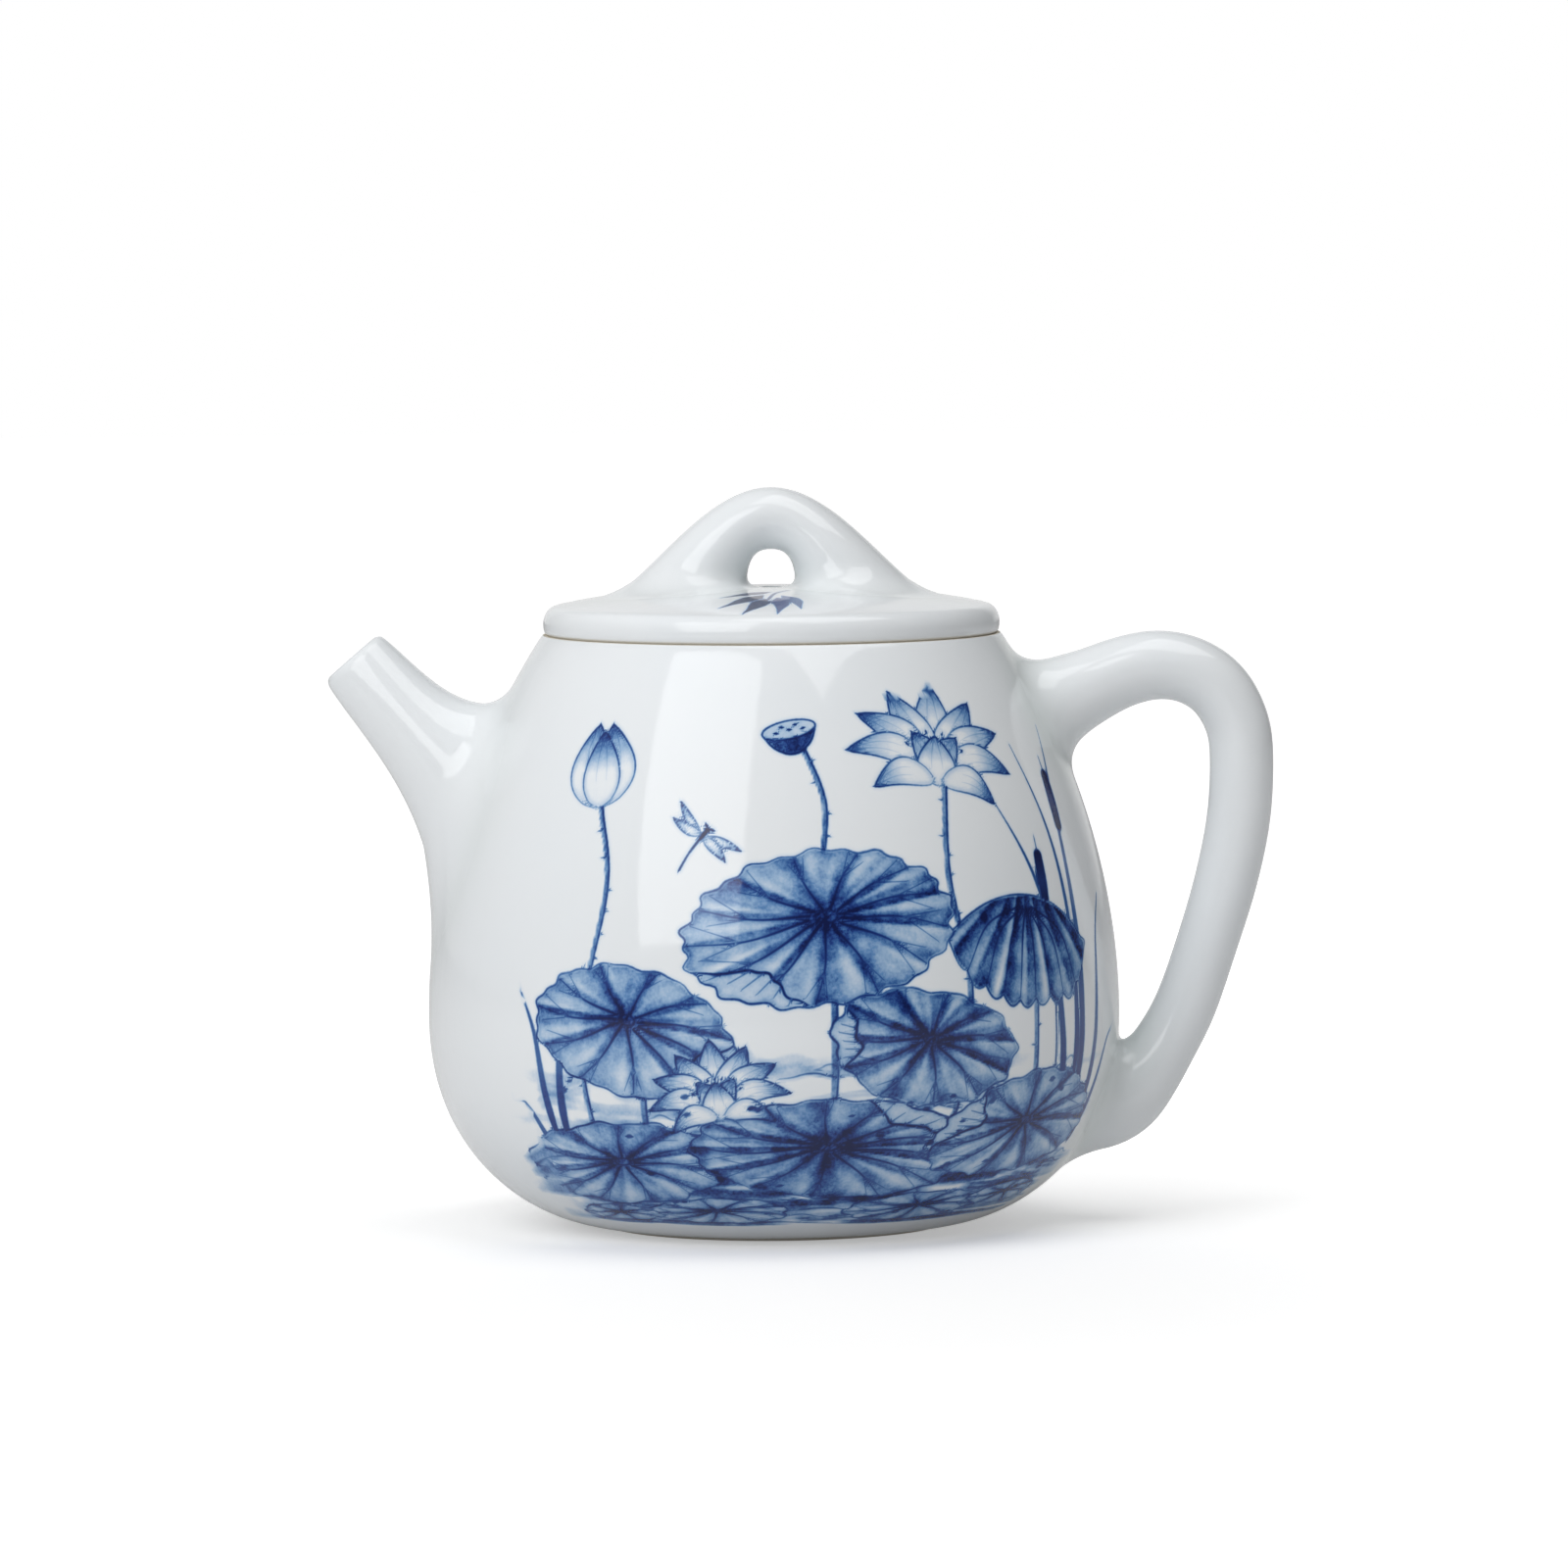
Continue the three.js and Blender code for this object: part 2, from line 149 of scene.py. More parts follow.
def wall_profile(top, belly, bottom, steps):
    """The curve from the top over the belly to the bottom, as rows of radius and height."""
    top, belly, bottom = (np.array(p) for p in (top, belly, bottom))
    down = np.array((math.sin(SHOULDER_ANGLE), -math.cos(SHOULDER_ANGLE)))
    upper = cubic((top, top + SHOULDER_REACH * down, belly + (0, UPPER_REACH), belly), steps)
    lower = cubic((belly, belly - (0, LOWER_REACH), bottom + (BASE_REACH, 0), bottom), steps)
    return np.vstack((upper, lower[1:]))


OUTSIDE = wall_profile(
    (RIM_RADIUS, RIM_HEIGHT), (BELLY_RADIUS, BELLY_HEIGHT), (BASE_RADIUS, BASE_HEIGHT), PROFILE_STEPS
)
INSIDE = wall_profile(
    (MOUTH_RADIUS, RIM_HEIGHT - MOUTH_DEPTH), (BELLY_RADIUS - WALL, BELLY_HEIGHT),
    (BASE_RADIUS - WALL, FLOOR_HEIGHT), PROFILE_STEPS // 4,
)
print("outer profile", len(OUTSIDE), "points, inner profile", len(INSIDE), "points")


# %% Helpers that measure curves
def lengths(curve):
    """The length along a curve up to each of its points."""
    return np.r_[0, np.cumsum(np.hypot(*np.diff(curve[:, :2], axis=0).T))]


def at_marks(curve, steps):
    """The same curve with points at even steps of its length."""
    marks = np.linspace(0, lengths(curve)[-1], steps + 1)
    return np.column_stack([np.interp(marks, lengths(curve), column) for column in curve.T])


def evenly(curve, spacing):
    """The same curve with points about `spacing` apart along it."""
    return at_marks(curve, max(2, round(lengths(curve)[-1] / spacing)))


def wall_radius(height):
    """The radius of the pot's outside at a height."""
    return np.interp(height, OUTSIDE[::-1, 1], OUTSIDE[::-1, 0])


def unit(rows):
    """Each row scaled to a length of 1."""
    return rows / np.linalg.norm(rows, axis=1)[:, None]


# %% [markdown]
# ## Turning a profile into clay
#
# `bmesh.ops.spin` does what the wheel does: it sweeps the profile round the axis. The painted front needs
# a far finer mesh than the back, so the spin runs in two spans with different steps, and the front's
# quads are then subdivided once more.

# %% Helpers that throw a profile on the wheel
MERGE = 1e-6


def sealed(mesh):
    """Merges a shell's doubles and turns its faces outwards."""
    bmesh.ops.remove_doubles(mesh, verts=mesh.verts, dist=MERGE)
    bmesh.ops.recalc_face_normals(mesh, faces=mesh.faces)
    return mesh


def throw(profile, start, *spans):
    """A bmesh of the profile spun from an angle through spans of (angle, steps)."""
    mesh = bmesh.new()
    ring = [mesh.verts.new(place(r * math.cos(start), r * math.sin(start), z)) for r, z in profile]
    geometry = ring + [mesh.edges.new(pair) for pair in zip(ring, ring[1:])]
    for angle, steps in spans:
        geometry = bmesh.ops.spin(
            mesh, geom=geometry, cent=place(0, 0, 0), axis=(0, 0, 1), angle=angle, steps=steps,
            use_merge=False, use_duplicate=False,
        )["geom_last"]
    return sealed(mesh)


def data_of(name, mesh):
    """A bmesh's lasting mesh data."""
    data = bpy.data.meshes.new(name)
    mesh.to_mesh(data)
    mesh.free()
    return data


def finish_piece(name, mesh, body, node):
    """Makes the object of a bmesh, smooth, riding on its body and standing for its node."""
    piece = add_object(name, data_of(name, mesh))
    piece.data.shade_smooth()
    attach(piece, body)
    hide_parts(node)
    print(f"{name}: {sum(len(p.vertices) - 2 for p in piece.data.polygons)} triangles")
    return piece


def local_points(piece):
    """A piece's vertices as rows of x, y and z in millimetres about the pot's axis."""
    flat = np.empty(len(piece.data.vertices) * 3, np.float32)
    piece.data.vertices.foreach_get("co", flat)
    points = flat.reshape(-1, 3).astype(float) / MM
    points[:, 0] -= AXIS_X / MM
    return points


# %% [markdown]
# ## Skins to join onto
#
# A potter sticks spout and handle on with wet slip and smooths the seam away with a thumb, so each joint
# is a soft fillet that runs out into the wall. To build such a fillet the script must know the skin it
# runs out onto: where a point lies from it, and which way is out.

# %% Helpers that measure from a turned skin
def skin_normals(skin):
    """Outward normals at the corners of a skin that runs from its top down or from its edge inwards."""
    step = np.gradient(skin, axis=0)
    return unit(np.column_stack((-step[:, 1], step[:, 0])))


def from_skin(skin, points):
    """Foot points on a turned skin, outward normals there, and signed distances, for rows of points."""
    radius = np.hypot(points[:, 0], points[:, 1])
    flat = np.column_stack((radius, points[:, 2]))
    start, step = skin[:-1], np.diff(skin, axis=0)
    share = np.clip(((flat[:, None] - start) * step).sum(2) / (step**2).sum(1), 0, 1)
    near = start + share[..., None] * step
    best = ((flat[:, None] - near) ** 2).sum(2).argmin(1)
    rows = np.arange(len(flat))
    foot, mix = near[rows, best], share[rows, best][:, None]
    corners = skin_normals(skin)
    normal = unit(corners[best] * (1 - mix) + corners[best + 1] * mix)
    around = points[:, :2] / np.maximum(radius, 1e-9)[:, None]
    lift = lambda v: np.column_stack((v[:, :1] * around, v[:, 1]))
    return lift(foot), lift(normal), ((flat - foot) * normal).sum(1)


def along_skin(rows, normal):
    """Directions laid flat on a skin."""
    return unit(rows - (rows * normal).sum(1)[:, None] * normal)


# %% [markdown]
# ## Luting a bar onto a skin
#
# A joint starts from many lines drawn along the bar. Each line is followed until it meets the skin. A
# little before that point it bends away on a soft quadratic curve, lands flat on the skin, and then dives
# just beneath it, so the pieces stay separate while their glaze looks like one coat.

# %% A helper that makes the rings of a luted joint
JOINT_ROWS = 12
DIVE = ((0.4, 0.012), (0.9, 0.06), (1.5, 0.3))
UNDERSIDE_DEPTH = 0.5
UNDERSIDE_SHARE = 0.94
UNDERSIDE_ROWS = 4
BEND_SHARE = 0.97
LOOK_BACK = 0.01
MEETING_SAMPLES = 240


def meeting(surface, phis, skin):
    """Where each line of a surface first enters the skin: shares along the lines, and the points."""
    shares = np.linspace(0, 1, MEETING_SAMPLES + 1)
    rows = np.array([surface(np.full(len(phis), s), phis) for s in shares])
    away = from_skin(skin, rows.reshape(-1, 3))[2].reshape(MEETING_SAMPLES + 1, -1)
    first = (away < 0).argmax(0)
    columns = np.arange(len(phis))
    above, below = away[first - 1, columns], away[first, columns]
    share = (first - 1 + above / (above - below)) / MEETING_SAMPLES
    return share, surface(share, phis)


def joint_rings(surface, phis, skin, flare, free_rows, under_rows=UNDERSIDE_ROWS):
    """Rings of a bar from its free part, over a fillet, to its underside within the skin."""
    share, crossing = meeting(surface, phis, skin)
    ahead = surface(np.clip(share - LOOK_BACK, 0, 1), phis)
    speed = np.linalg.norm(crossing - ahead, axis=1) / LOOK_BACK
    reach = flare(phis)
    start = np.clip(share - reach / speed, 0, 1)
    rings = [surface(start * row / free_rows, phis) for row in range(free_rows + 1)]
    foot, normal, _ = from_skin(skin, crossing)
    outward = along_skin(crossing - crossing.mean(0), normal)
    landing, normal, _ = from_skin(skin, foot + outward * reach[:, None])
    inward = along_skin(foot - landing, normal)
    bend = landing + inward * reach[:, None] * BEND_SHARE
    for t in np.arange(1, JOINT_ROWS + 1) / JOINT_ROWS:
        rings.append((1 - t) ** 2 * rings[free_rows] + 2 * t * (1 - t) * bend + t**2 * landing)
    for further, depth in DIVE:
        spot, normal, _ = from_skin(skin, landing - inward * further)
        rings.append(spot - normal * depth)
    edge, centre = rings[-1], rings[-1].mean(0)
    for row in range(1, under_rows + 1):
        spot, normal, _ = from_skin(skin, edge + (centre - edge) * UNDERSIDE_SHARE * row / under_rows)
        rings.append(spot - normal * UNDERSIDE_DEPTH)
    return rings, landing


# %% [markdown]
# ## Pulling a ring along
#
# A pulled spout or handle is a ring of clay drawn along its length. `bmesh.ops.extrude_edge_only` does
# that ring by ring. A number kept on each vertex of the first ring is copied by every extrusion, so the
# script knows which new vertex goes to which place in the next ring.

# %% A helper that pulls a ring of vertices through a list of rings
def pull(rings, closed):
    """A bmesh through the rings, closed on itself or capped at both ends."""
    mesh = bmesh.new()
    number = mesh.verts.layers.int.new("place in ring")
    first = [mesh.verts.new(place(*point)) for point in rings[0]]
    for count, vert in enumerate(first):
        vert[number] = count
    loop = [mesh.edges.new((first[i - 1], first[i])) for i in range(len(first))]
    if not closed:
        bmesh.ops.contextual_create(mesh, geom=loop)
    for ring in rings[1:]:
        pulled = bmesh.ops.extrude_edge_only(mesh, edges=loop)["geom"]
        fresh = {g for g in pulled if isinstance(g, bmesh.types.BMVert)}
        for vert in fresh:
            vert.co = place(*ring[vert[number]])
        edges = [g for g in pulled if isinstance(g, bmesh.types.BMEdge)]
        loop = [edge for edge in edges if all(v in fresh for v in edge.verts)]
    if not closed:
        bmesh.ops.contextual_create(mesh, geom=loop)
    return sealed(mesh)


# %% [markdown]
# ## Pot
#
# The wall runs from the middle of the base, up the outside, over the seat for the lid and down the
# inside. The painted window in front is subdivided: its new vertices lie on straight chords at first, so
# they are pushed back out to the profile's true radius.

# %% Throw the pot
WINDOW_FROM = math.radians(-90 - 46)
WINDOW_SWEEP = math.radians(120)
WINDOW_COLUMNS = 80
WINDOW_LOW, WINDOW_HIGH = 0.7, 68.5
WINDOW_CUTS = 3
BACK_COLUMNS = 72
ROW_SPACING = 1.15
SEAT_ROUNDING = 0.25
MOUTH_BEVEL = 0.3


def pot_profile():
    """The pot's closed section, from the middle of its base round to the middle of its floor."""
    outer = evenly(OUTSIDE, ROW_SPACING)
    below = outer[outer[:, 1] < RIM_HEIGHT - SEAT_ROUNDING]
    corner = (RIM_RADIUS, RIM_HEIGHT)
    rounding = cubic(((RIM_RADIUS - SEAT_ROUNDING, RIM_HEIGHT), corner, corner, below[0]), 5)
    return np.vstack((
        (0, BASE_HEIGHT),
        (BASE_RADIUS / 2, BASE_HEIGHT),
        below[::-1],
        rounding[-2::-1],
        (MOUTH_RADIUS + MOUTH_BEVEL, RIM_HEIGHT),
        (MOUTH_RADIUS, RIM_HEIGHT - MOUTH_BEVEL),
        evenly(INSIDE, 4 * ROW_SPACING),
        (BASE_RADIUS / 3, FLOOR_HEIGHT),
        (0, FLOOR_HEIGHT),
    ))


def refine_window(mesh):
    """Subdivides the front of the outer skin."""
    def in_window(vert):
        x, y, z = (vert.co.x - AXIS_X) / MM, vert.co.y / MM, vert.co.z / MM
        outer = math.hypot(x, y) > wall_radius(z) - WALL / 3
        turn = (math.atan2(y, x) - WINDOW_FROM) % (2 * math.pi)
        return outer and WINDOW_LOW < z < WINDOW_HIGH and turn <= WINDOW_SWEEP + 1e-4

    inside = {v for v in mesh.verts if in_window(v)}
    edges = [e for e in mesh.edges if e.verts[0] in inside and e.verts[1] in inside]
    bmesh.ops.subdivide_edges(mesh, edges=edges, cuts=WINDOW_CUTS, use_grid_fill=True)
    print("window edges", len(edges))


front, back = (WINDOW_SWEEP, WINDOW_COLUMNS), (2 * math.pi - WINDOW_SWEEP, BACK_COLUMNS)
pot_mesh = throw(pot_profile(), WINDOW_FROM, front, back)
refine_window(pot_mesh)
pot_body = finish_piece("pot_wall", pot_mesh, "pot", "pot_body")

# %% Set the outside on its true curve
SKIN_DEPTH = 0.12

points = local_points(pot_body)
radius, target = np.hypot(points[:, 0], points[:, 1]), wall_radius(points[:, 2])
skin = (np.abs(radius - target) < SKIN_DEPTH) & (points[:, 2] > BASE_HEIGHT + 0.02)
skin &= points[:, 2] < RIM_HEIGHT - 2 * SEAT_ROUNDING
points[:, :2] *= np.where(skin, target / np.maximum(radius, 1e-9), 1)[:, None]
points[:, 0] += AXIS_X / MM
pot_body.data.vertices.foreach_set("co", (points * MM).astype(np.float32).ravel())
pot_body.data.update()
print("vertices set on the profile", int(skin.sum()))

# %% [markdown]
# ## Spout
#
# In the plane of symmetry the spout lies between an upper and a lower rail. The rings between them are
# ovals that grow deeper towards the pot. The bore follows the same rails, one wall further in, and the
# lip joins the two with a half round.

# %% Draw the spout between its rails
PORT_HEIGHT = RIM_HEIGHT - 20.4
PORT_RADIUS = 6.4
SPOUT_UPPER = ((10.8, 20.5), (7.1, 18.0), (2.0, 10.4), (-4.9, 11.8))
SPOUT_LOWER = ((17.6, 14.5), (13.7, 7.9), (5.1, 0.2), (3.9, -14.6))
SPOUT_TIP_DEPTH = 4.2
SPOUT_ROOT_DEPTH = 10.0
SPOUT_INWARD = 32.0
SIDEWAYS = np.array((0.0, 1.0, 0.0))

port_centre = np.array((-wall_radius(PORT_HEIGHT), 0.0, PORT_HEIGHT))
port_inward = -from_skin(OUTSIDE, port_centre[None])[1][0]
port_up = np.array((port_inward[2], 0.0, -port_inward[0]))


def rail_point(rail, t):
    """Points of a rail, as rows of x and z, which runs on straight into the pot past its end."""
    controls = [(port_centre[0] - out, port_centre[2] + up) for out, up in rail]
    beyond = np.maximum(t - 1, 0)[:, None] * SPOUT_INWARD
    return cubic_at(controls, np.minimum(t, 1)) + beyond * port_inward[[0, 2]]


def spout_point(t, phi, inset=0.0):
    """Points of the spout's skin at shares `t` from its tip and angles `phi` about it."""
    top, bottom = rail_point(SPOUT_UPPER, t), rail_point(SPOUT_LOWER, t)
    across = unit(bottom - top) * inset
    top, bottom = top + across, bottom - across
    flat = (top + bottom) / 2 + (bottom - top) / 2 * np.cos(phi)[:, None]
    depth = SPOUT_TIP_DEPTH + (SPOUT_ROOT_DEPTH - SPOUT_TIP_DEPTH) * np.clip(t, 0, 1) - inset
    return np.column_stack((flat[:, 0], depth * np.sin(phi), flat[:, 1]))


print("port at", port_centre.round(1), "facing", port_inward.round(2))

# %% Pull the spout
SPOUT_SIDES = 96
SPOUT_ROWS = 44
SPOUT_RUN = 1.25
SPOUT_LIP_WALL = 1.5
SPOUT_ROOT_WALL = 3.2
LIP_SHARE = 0.045
LIP_PROUD = 0.012
LIP_ROWS = 10
BORE_SHARE = 0.75
BORE_ROWS = 24
BORE_STOP = 0.2
BORE_EASE = 0.4


def spout_flare(phi):
    """Fillet reach round the spout: short on top, longer at the sides and below."""
    below, above = np.clip(np.cos(phi), 0, 1), np.clip(-np.cos(phi), 0, 1)
    return 6.8 - 3.9 * above**1.3 + 0.4 * below**1.5


def spout_rings():
    """All the spout's rings: skin, fillet, underside, bore and lip."""
    phis = np.linspace(0, 2 * math.pi, SPOUT_SIDES, endpoint=False)
    ring_at = lambda t, inset: spout_point(np.full(SPOUT_SIDES, t), phis, inset)
    outer = lambda t, p: spout_point(LIP_SHARE + t * (SPOUT_RUN - LIP_SHARE), p)
    skin, landing = joint_rings(outer, phis, OUTSIDE, spout_flare, SPOUT_ROWS, under_rows=3)
    circle = np.cos(phis)[:, None] * port_up * PORT_RADIUS - np.sin(phis)[:, None] * SIDEWAYS * PORT_RADIUS
    round_port = port_centre - port_inward * BORE_STOP - circle
    bore_mouth = ring_at(BORE_SHARE, SPOUT_ROOT_WALL)
    bore = [round_port, (round_port + bore_mouth) / 2 + BORE_EASE * port_inward]
    for t in np.linspace(BORE_SHARE, LIP_SHARE, BORE_ROWS):
        bore.append(ring_at(t, SPOUT_LIP_WALL + (SPOUT_ROOT_WALL - SPOUT_LIP_WALL) * t))
    lip = []
    for angle in np.linspace(math.pi, 0, LIP_ROWS + 1)[1:-1]:
        share = LIP_SHARE - (LIP_SHARE + LIP_PROUD) * math.sin(angle)
        lip.append(ring_at(share, (1 - math.cos(angle)) * SPOUT_LIP_WALL / 2))
    return skin[:-1] + bore + lip + [skin[0]], landing


rings, spout_landing = spout_rings()
spout = finish_piece("pulled_spout", pull(rings, closed=True), "pot", "spout")

# %% [markdown]
# ## Handle
#
# The handle's centre line goes through stations that stand a stated way out from the wall, each with its
# own thickness. A running average smooths line and thickness together, as a wet palm does.

# %% Draw the handle's centre line
HANDLE_TOP = RIM_HEIGHT - 11.9
HANDLE_FOOT = 15.6
HANDLE_STATIONS = (
    (-7.2, 1.0, 16.0), (-4.6, 1.005, 15.5), (-1.3, 1.03, 13.4), (2.7, 1.067, 11.2), (7.5, 1.104, 9.6),
    (12.2, 1.138, 9.0), (16.9, 1.157, 8.8), (20.7, 1.146, 8.6), (23.2, 1.1, 8.4), (23.7, 1.025, 8.2),
    (22.8, 0.94, 8.1), (19.4, 0.762, 8.1), (15.6, 0.589, 8.0), (11.8, 0.418, 7.8), (8.5, 0.25, 7.9),
    (6.1, 0.146, 8.2), (4.2, 0.069, 9.3), (2.1, 0.015, 11.4), (-0.9, -0.004, 13.0), (-5.0, 0.004, 14.5),
)
LINE_SAMPLES = 600
PALM_WIDTH = 1.2


def through(stations, fineness=24):
    """A smooth curve through the stations. Its tangent at each is half the step between its neighbours."""
    padded = np.vstack((2 * stations[0] - stations[1], stations, 2 * stations[-1] - stations[-2]))
    a, b, c, d = (group[:, None] for group in (padded[:-3], padded[1:-2], padded[2:-1], padded[3:]))
    t = (np.arange(fineness) / fineness)[None, :, None]
    curve = b + t / 2 * (c - a + t * (2 * a - 5 * b + 4 * c - d + t * (3 * (b - c) + d - a)))
    return np.vstack((curve.reshape(-1, stations.shape[1]), stations[-1:]))


def handle_line():
    """The handle's centre line as rows of x, z and thickness, from the upper root to the lower."""
    out, share, thickness = np.array(HANDLE_STATIONS).T
    z = HANDLE_FOOT + share * (HANDLE_TOP - HANDLE_FOOT)
    rows = through(np.column_stack((wall_radius(z) + out, z, thickness)))
    line = at_marks(rows, LINE_SAMPLES)
    step = lengths(rows)[-1] / LINE_SAMPLES
    reach = int(3 * PALM_WIDTH / step)
    weights = np.exp(-0.5 * (np.arange(-reach, reach + 1) * step / PALM_WIDTH) ** 2)
    weights /= weights.sum()
    padded = np.vstack((2 * line[0] - line[reach:0:-1], line, 2 * line[-1] - line[-2:-reach - 2:-1]))
    return np.column_stack([np.convolve(column, weights, "valid") for column in padded.T])


HANDLE_LINE = handle_line()
HANDLE_TANGENT = unit(np.gradient(HANDLE_LINE[:, :2], axis=0))
print(f"handle line {lengths(HANDLE_LINE)[-1]:.0f} mm long")

# %% Pull the handle
HANDLE_SIDES = 64
HANDLE_ROWS = 60
HANDLE_DEPTH_RATIO = 1.12


def handle_point(t, phi):
    """Points of the handle's skin at shares `t` of its line and angles `phi` about it."""
    marks = np.arange(len(HANDLE_LINE))
    known = np.column_stack((HANDLE_LINE, HANDLE_TANGENT)).T
    x, z, thickness, tx, tz = (np.interp(t * marks[-1], marks, column) for column in known)
    outer = thickness / 2 * np.cos(phi)
    depth = HANDLE_DEPTH_RATIO * (thickness / 2) * np.sin(phi)
    return np.column_stack((x - tz * outer, depth, z + tx * outer))


def handle_rings():
    """Rings from the handle's upper underside, along its bar, to its lower underside."""
    phis = np.linspace(0, 2 * math.pi, HANDLE_SIDES, endpoint=False)
    upward, downward = (lambda s, p, way=way: handle_point(0.5 + way * s, p) for way in (-0.5, 0.5))
    upper_flare, lower_flare = lambda phi: 3.2 + 0 * phi, lambda phi: 3.3 + 0.5 * np.cos(phi)
    upper, high = joint_rings(upward, phis, OUTSIDE, upper_flare, HANDLE_ROWS)
    lower, low = joint_rings(downward, phis, OUTSIDE, lower_flare, HANDLE_ROWS)
    return upper[::-1] + lower[1:], np.vstack((high, low))


rings, handle_landing = handle_rings()
handle = finish_piece("pulled_handle", pull(rings, closed=False), "pot", "handle")

# %% [markdown]
# ## Foot ring
#
# The foot is left bare of glaze, because glaze would weld the pot to the kiln shelf. It is a flat ring
# with rounded edges, thrown on the wheel like the pot.

# %% Throw the foot ring
FOOT_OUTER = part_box("foot_ring")[1].y / MM
FOOT_WIDTH = 3.4
FOOT_BEVEL = 0.2
TOP_BEVEL = 0.05
RING_TURN = (2 * math.pi, 180)


def ring_profile(inner, outer, low, high, bevel):
    """The closed section of a flat ring with rounded edges."""
    corners = (
        ((inner, low), (1, 1), bevel), ((outer, low), (-1, 1), bevel),
        ((outer, high), (-1, -1), TOP_BEVEL), ((inner, high), (1, -1), TOP_BEVEL),
    )
    rows = []
    for count, ((r, z), (inward, upward), size) in enumerate(corners):
        turns = [(0, upward), (inward, 0)] if count % 2 == 0 else [(inward, 0), (0, upward)]
        a, b = ((r + size * dr, z + size * dz) for dr, dz in turns)
        rows.append(cubic((a, (r, z), (r, z), b), 4))
    return np.vstack(rows + [rows[0][:1]])


foot_section = ring_profile(FOOT_OUTER - FOOT_WIDTH, FOOT_OUTER, 0, BASE_HEIGHT, FOOT_BEVEL)
foot_ring = finish_piece("bare_foot", throw(foot_section, 0.0, RING_TURN), "pot", "foot_ring")

# %% [markdown]
# ## Lid
#
# The lid is a plate with a fat rounded edge, which rises gently towards its knob. A collar under it drops
# into the mouth. A vent goes through its middle, beneath the bridge, so that the tea pours freely.

# %% Throw the lid's plate
LID_RIM_HEIGHT = RIM_HEIGHT + 3.7
LID_EDGE = 1.8
LID_UNDERCUT = 0.3
LID_BULGE = 0.35
MOUND_HEIGHT = RIM_HEIGHT + 5.9
MOUND_RADIUS = 5.0
VENT_RADIUS = 1.0
VENT_BEVEL = 0.3
LID_SPACING = 0.5
LID_FRONT = (math.pi / 2, 150)
LID_BACK = (1.5 * math.pi, 130)


def lid_top():
    """The lid's upper skin from its fat edge up its gentle mound to the vent."""
    shoulder = (LID_RADIUS - LID_EDGE, LID_RIM_HEIGHT)
    edge = cubic((
        (LID_RADIUS - LID_UNDERCUT, RIM_HEIGHT), (LID_RADIUS + LID_BULGE, RIM_HEIGHT + 0.5),
        (LID_RADIUS + LID_BULGE, LID_RIM_HEIGHT - 0.1), shoulder,
    ), 40)
    mound = cubic((
        shoulder, (shoulder[0] - 2.3, LID_RIM_HEIGHT + 0.6),
        (3 * MOUND_RADIUS, MOUND_HEIGHT), (MOUND_RADIUS, MOUND_HEIGHT),
    ), 60)
    vent = ((VENT_RADIUS + VENT_BEVEL, MOUND_HEIGHT), (VENT_RADIUS, MOUND_HEIGHT - VENT_BEVEL))
    return np.vstack((edge, mound[1:], vent))


LID_TOP = lid_top()
lid_section = np.vstack((
    (VENT_RADIUS, RIM_HEIGHT), (LID_RADIUS / 2, RIM_HEIGHT), evenly(LID_TOP[:-2], LID_SPACING),
    evenly(LID_TOP[-3:-1], LID_SPACING)[1:], LID_TOP[-1], (VENT_RADIUS, RIM_HEIGHT),
))
lid_mesh = throw(lid_section, -math.pi * 0.75, LID_FRONT, LID_BACK)
lid_plate = finish_piece("lid_top", lid_mesh, "lid", "lid_plate")

# %% Throw the collar
COLLAR_CLEARANCE = 0.5
COLLAR_WALL = 2.4
COLLAR_DEPTH = 7.0

collar_outer = MOUTH_RADIUS - COLLAR_CLEARANCE
collar_section = ring_profile(
    collar_outer - COLLAR_WALL, collar_outer, RIM_HEIGHT - COLLAR_DEPTH, RIM_HEIGHT, COLLAR_WALL / 4
)
collar_mesh = throw(collar_section, 0.0, RING_TURN)
lid_collar = finish_piece("bare_collar", collar_mesh, "lid", "lid_collar")

# %% [markdown]
# ## Bridge knob
#
# Seen from the front, the knob lies between a bell-shaped outer rail and the small arch of its eye. Its
# rings turn with the arch, from one foot over the crown to the other.

# %% Pull the bridge
BRIDGE_SPAN = 20.5
BRIDGE_RISE = CROWN_HEIGHT - TABLE_HEIGHT
BRIDGE_OUTER = ((BRIDGE_SPAN, 0), (BRIDGE_SPAN - 5.4, 2.7), (8.2, BRIDGE_RISE), (0, BRIDGE_RISE))
BRIDGE_EYE = ((3.2, 0), (3.2, 4.8), (2.1, 6.0), (0, 6.0))
BRIDGE_CROWN_DEPTH = 4.6
BRIDGE_FOOT_DEPTH = 6.6
BRIDGE_SIDES = 72
BRIDGE_ROWS = 40
FOOT_RUN = 0.12
FOOT_SINK = 1.2


def bridge_point(t, phi):
    """Points of the knob's skin from its crown, at t = 0, to a little beneath its right foot, at t = 1."""
    run = t * (1 + FOOT_RUN)
    s = np.clip(1 - run, 0, 1)
    outer, inner = (cubic_at(rail[::-1], 1 - s) for rail in (BRIDGE_OUTER, BRIDGE_EYE))
    flat = (outer + inner) / 2 + (outer - inner) / 2 * np.cos(phi)[:, None]
    turn = np.sin((1 - s) * math.pi / 2)
    widening = 1 - np.cos(turn * math.pi / 2)
    depth = BRIDGE_CROWN_DEPTH + (BRIDGE_FOOT_DEPTH - BRIDGE_CROWN_DEPTH) * widening
    below = np.maximum(run - 1, 0) / FOOT_RUN * FOOT_SINK
    return np.column_stack((flat[:, 0], depth * np.sin(phi), TABLE_HEIGHT + flat[:, 1] - below))


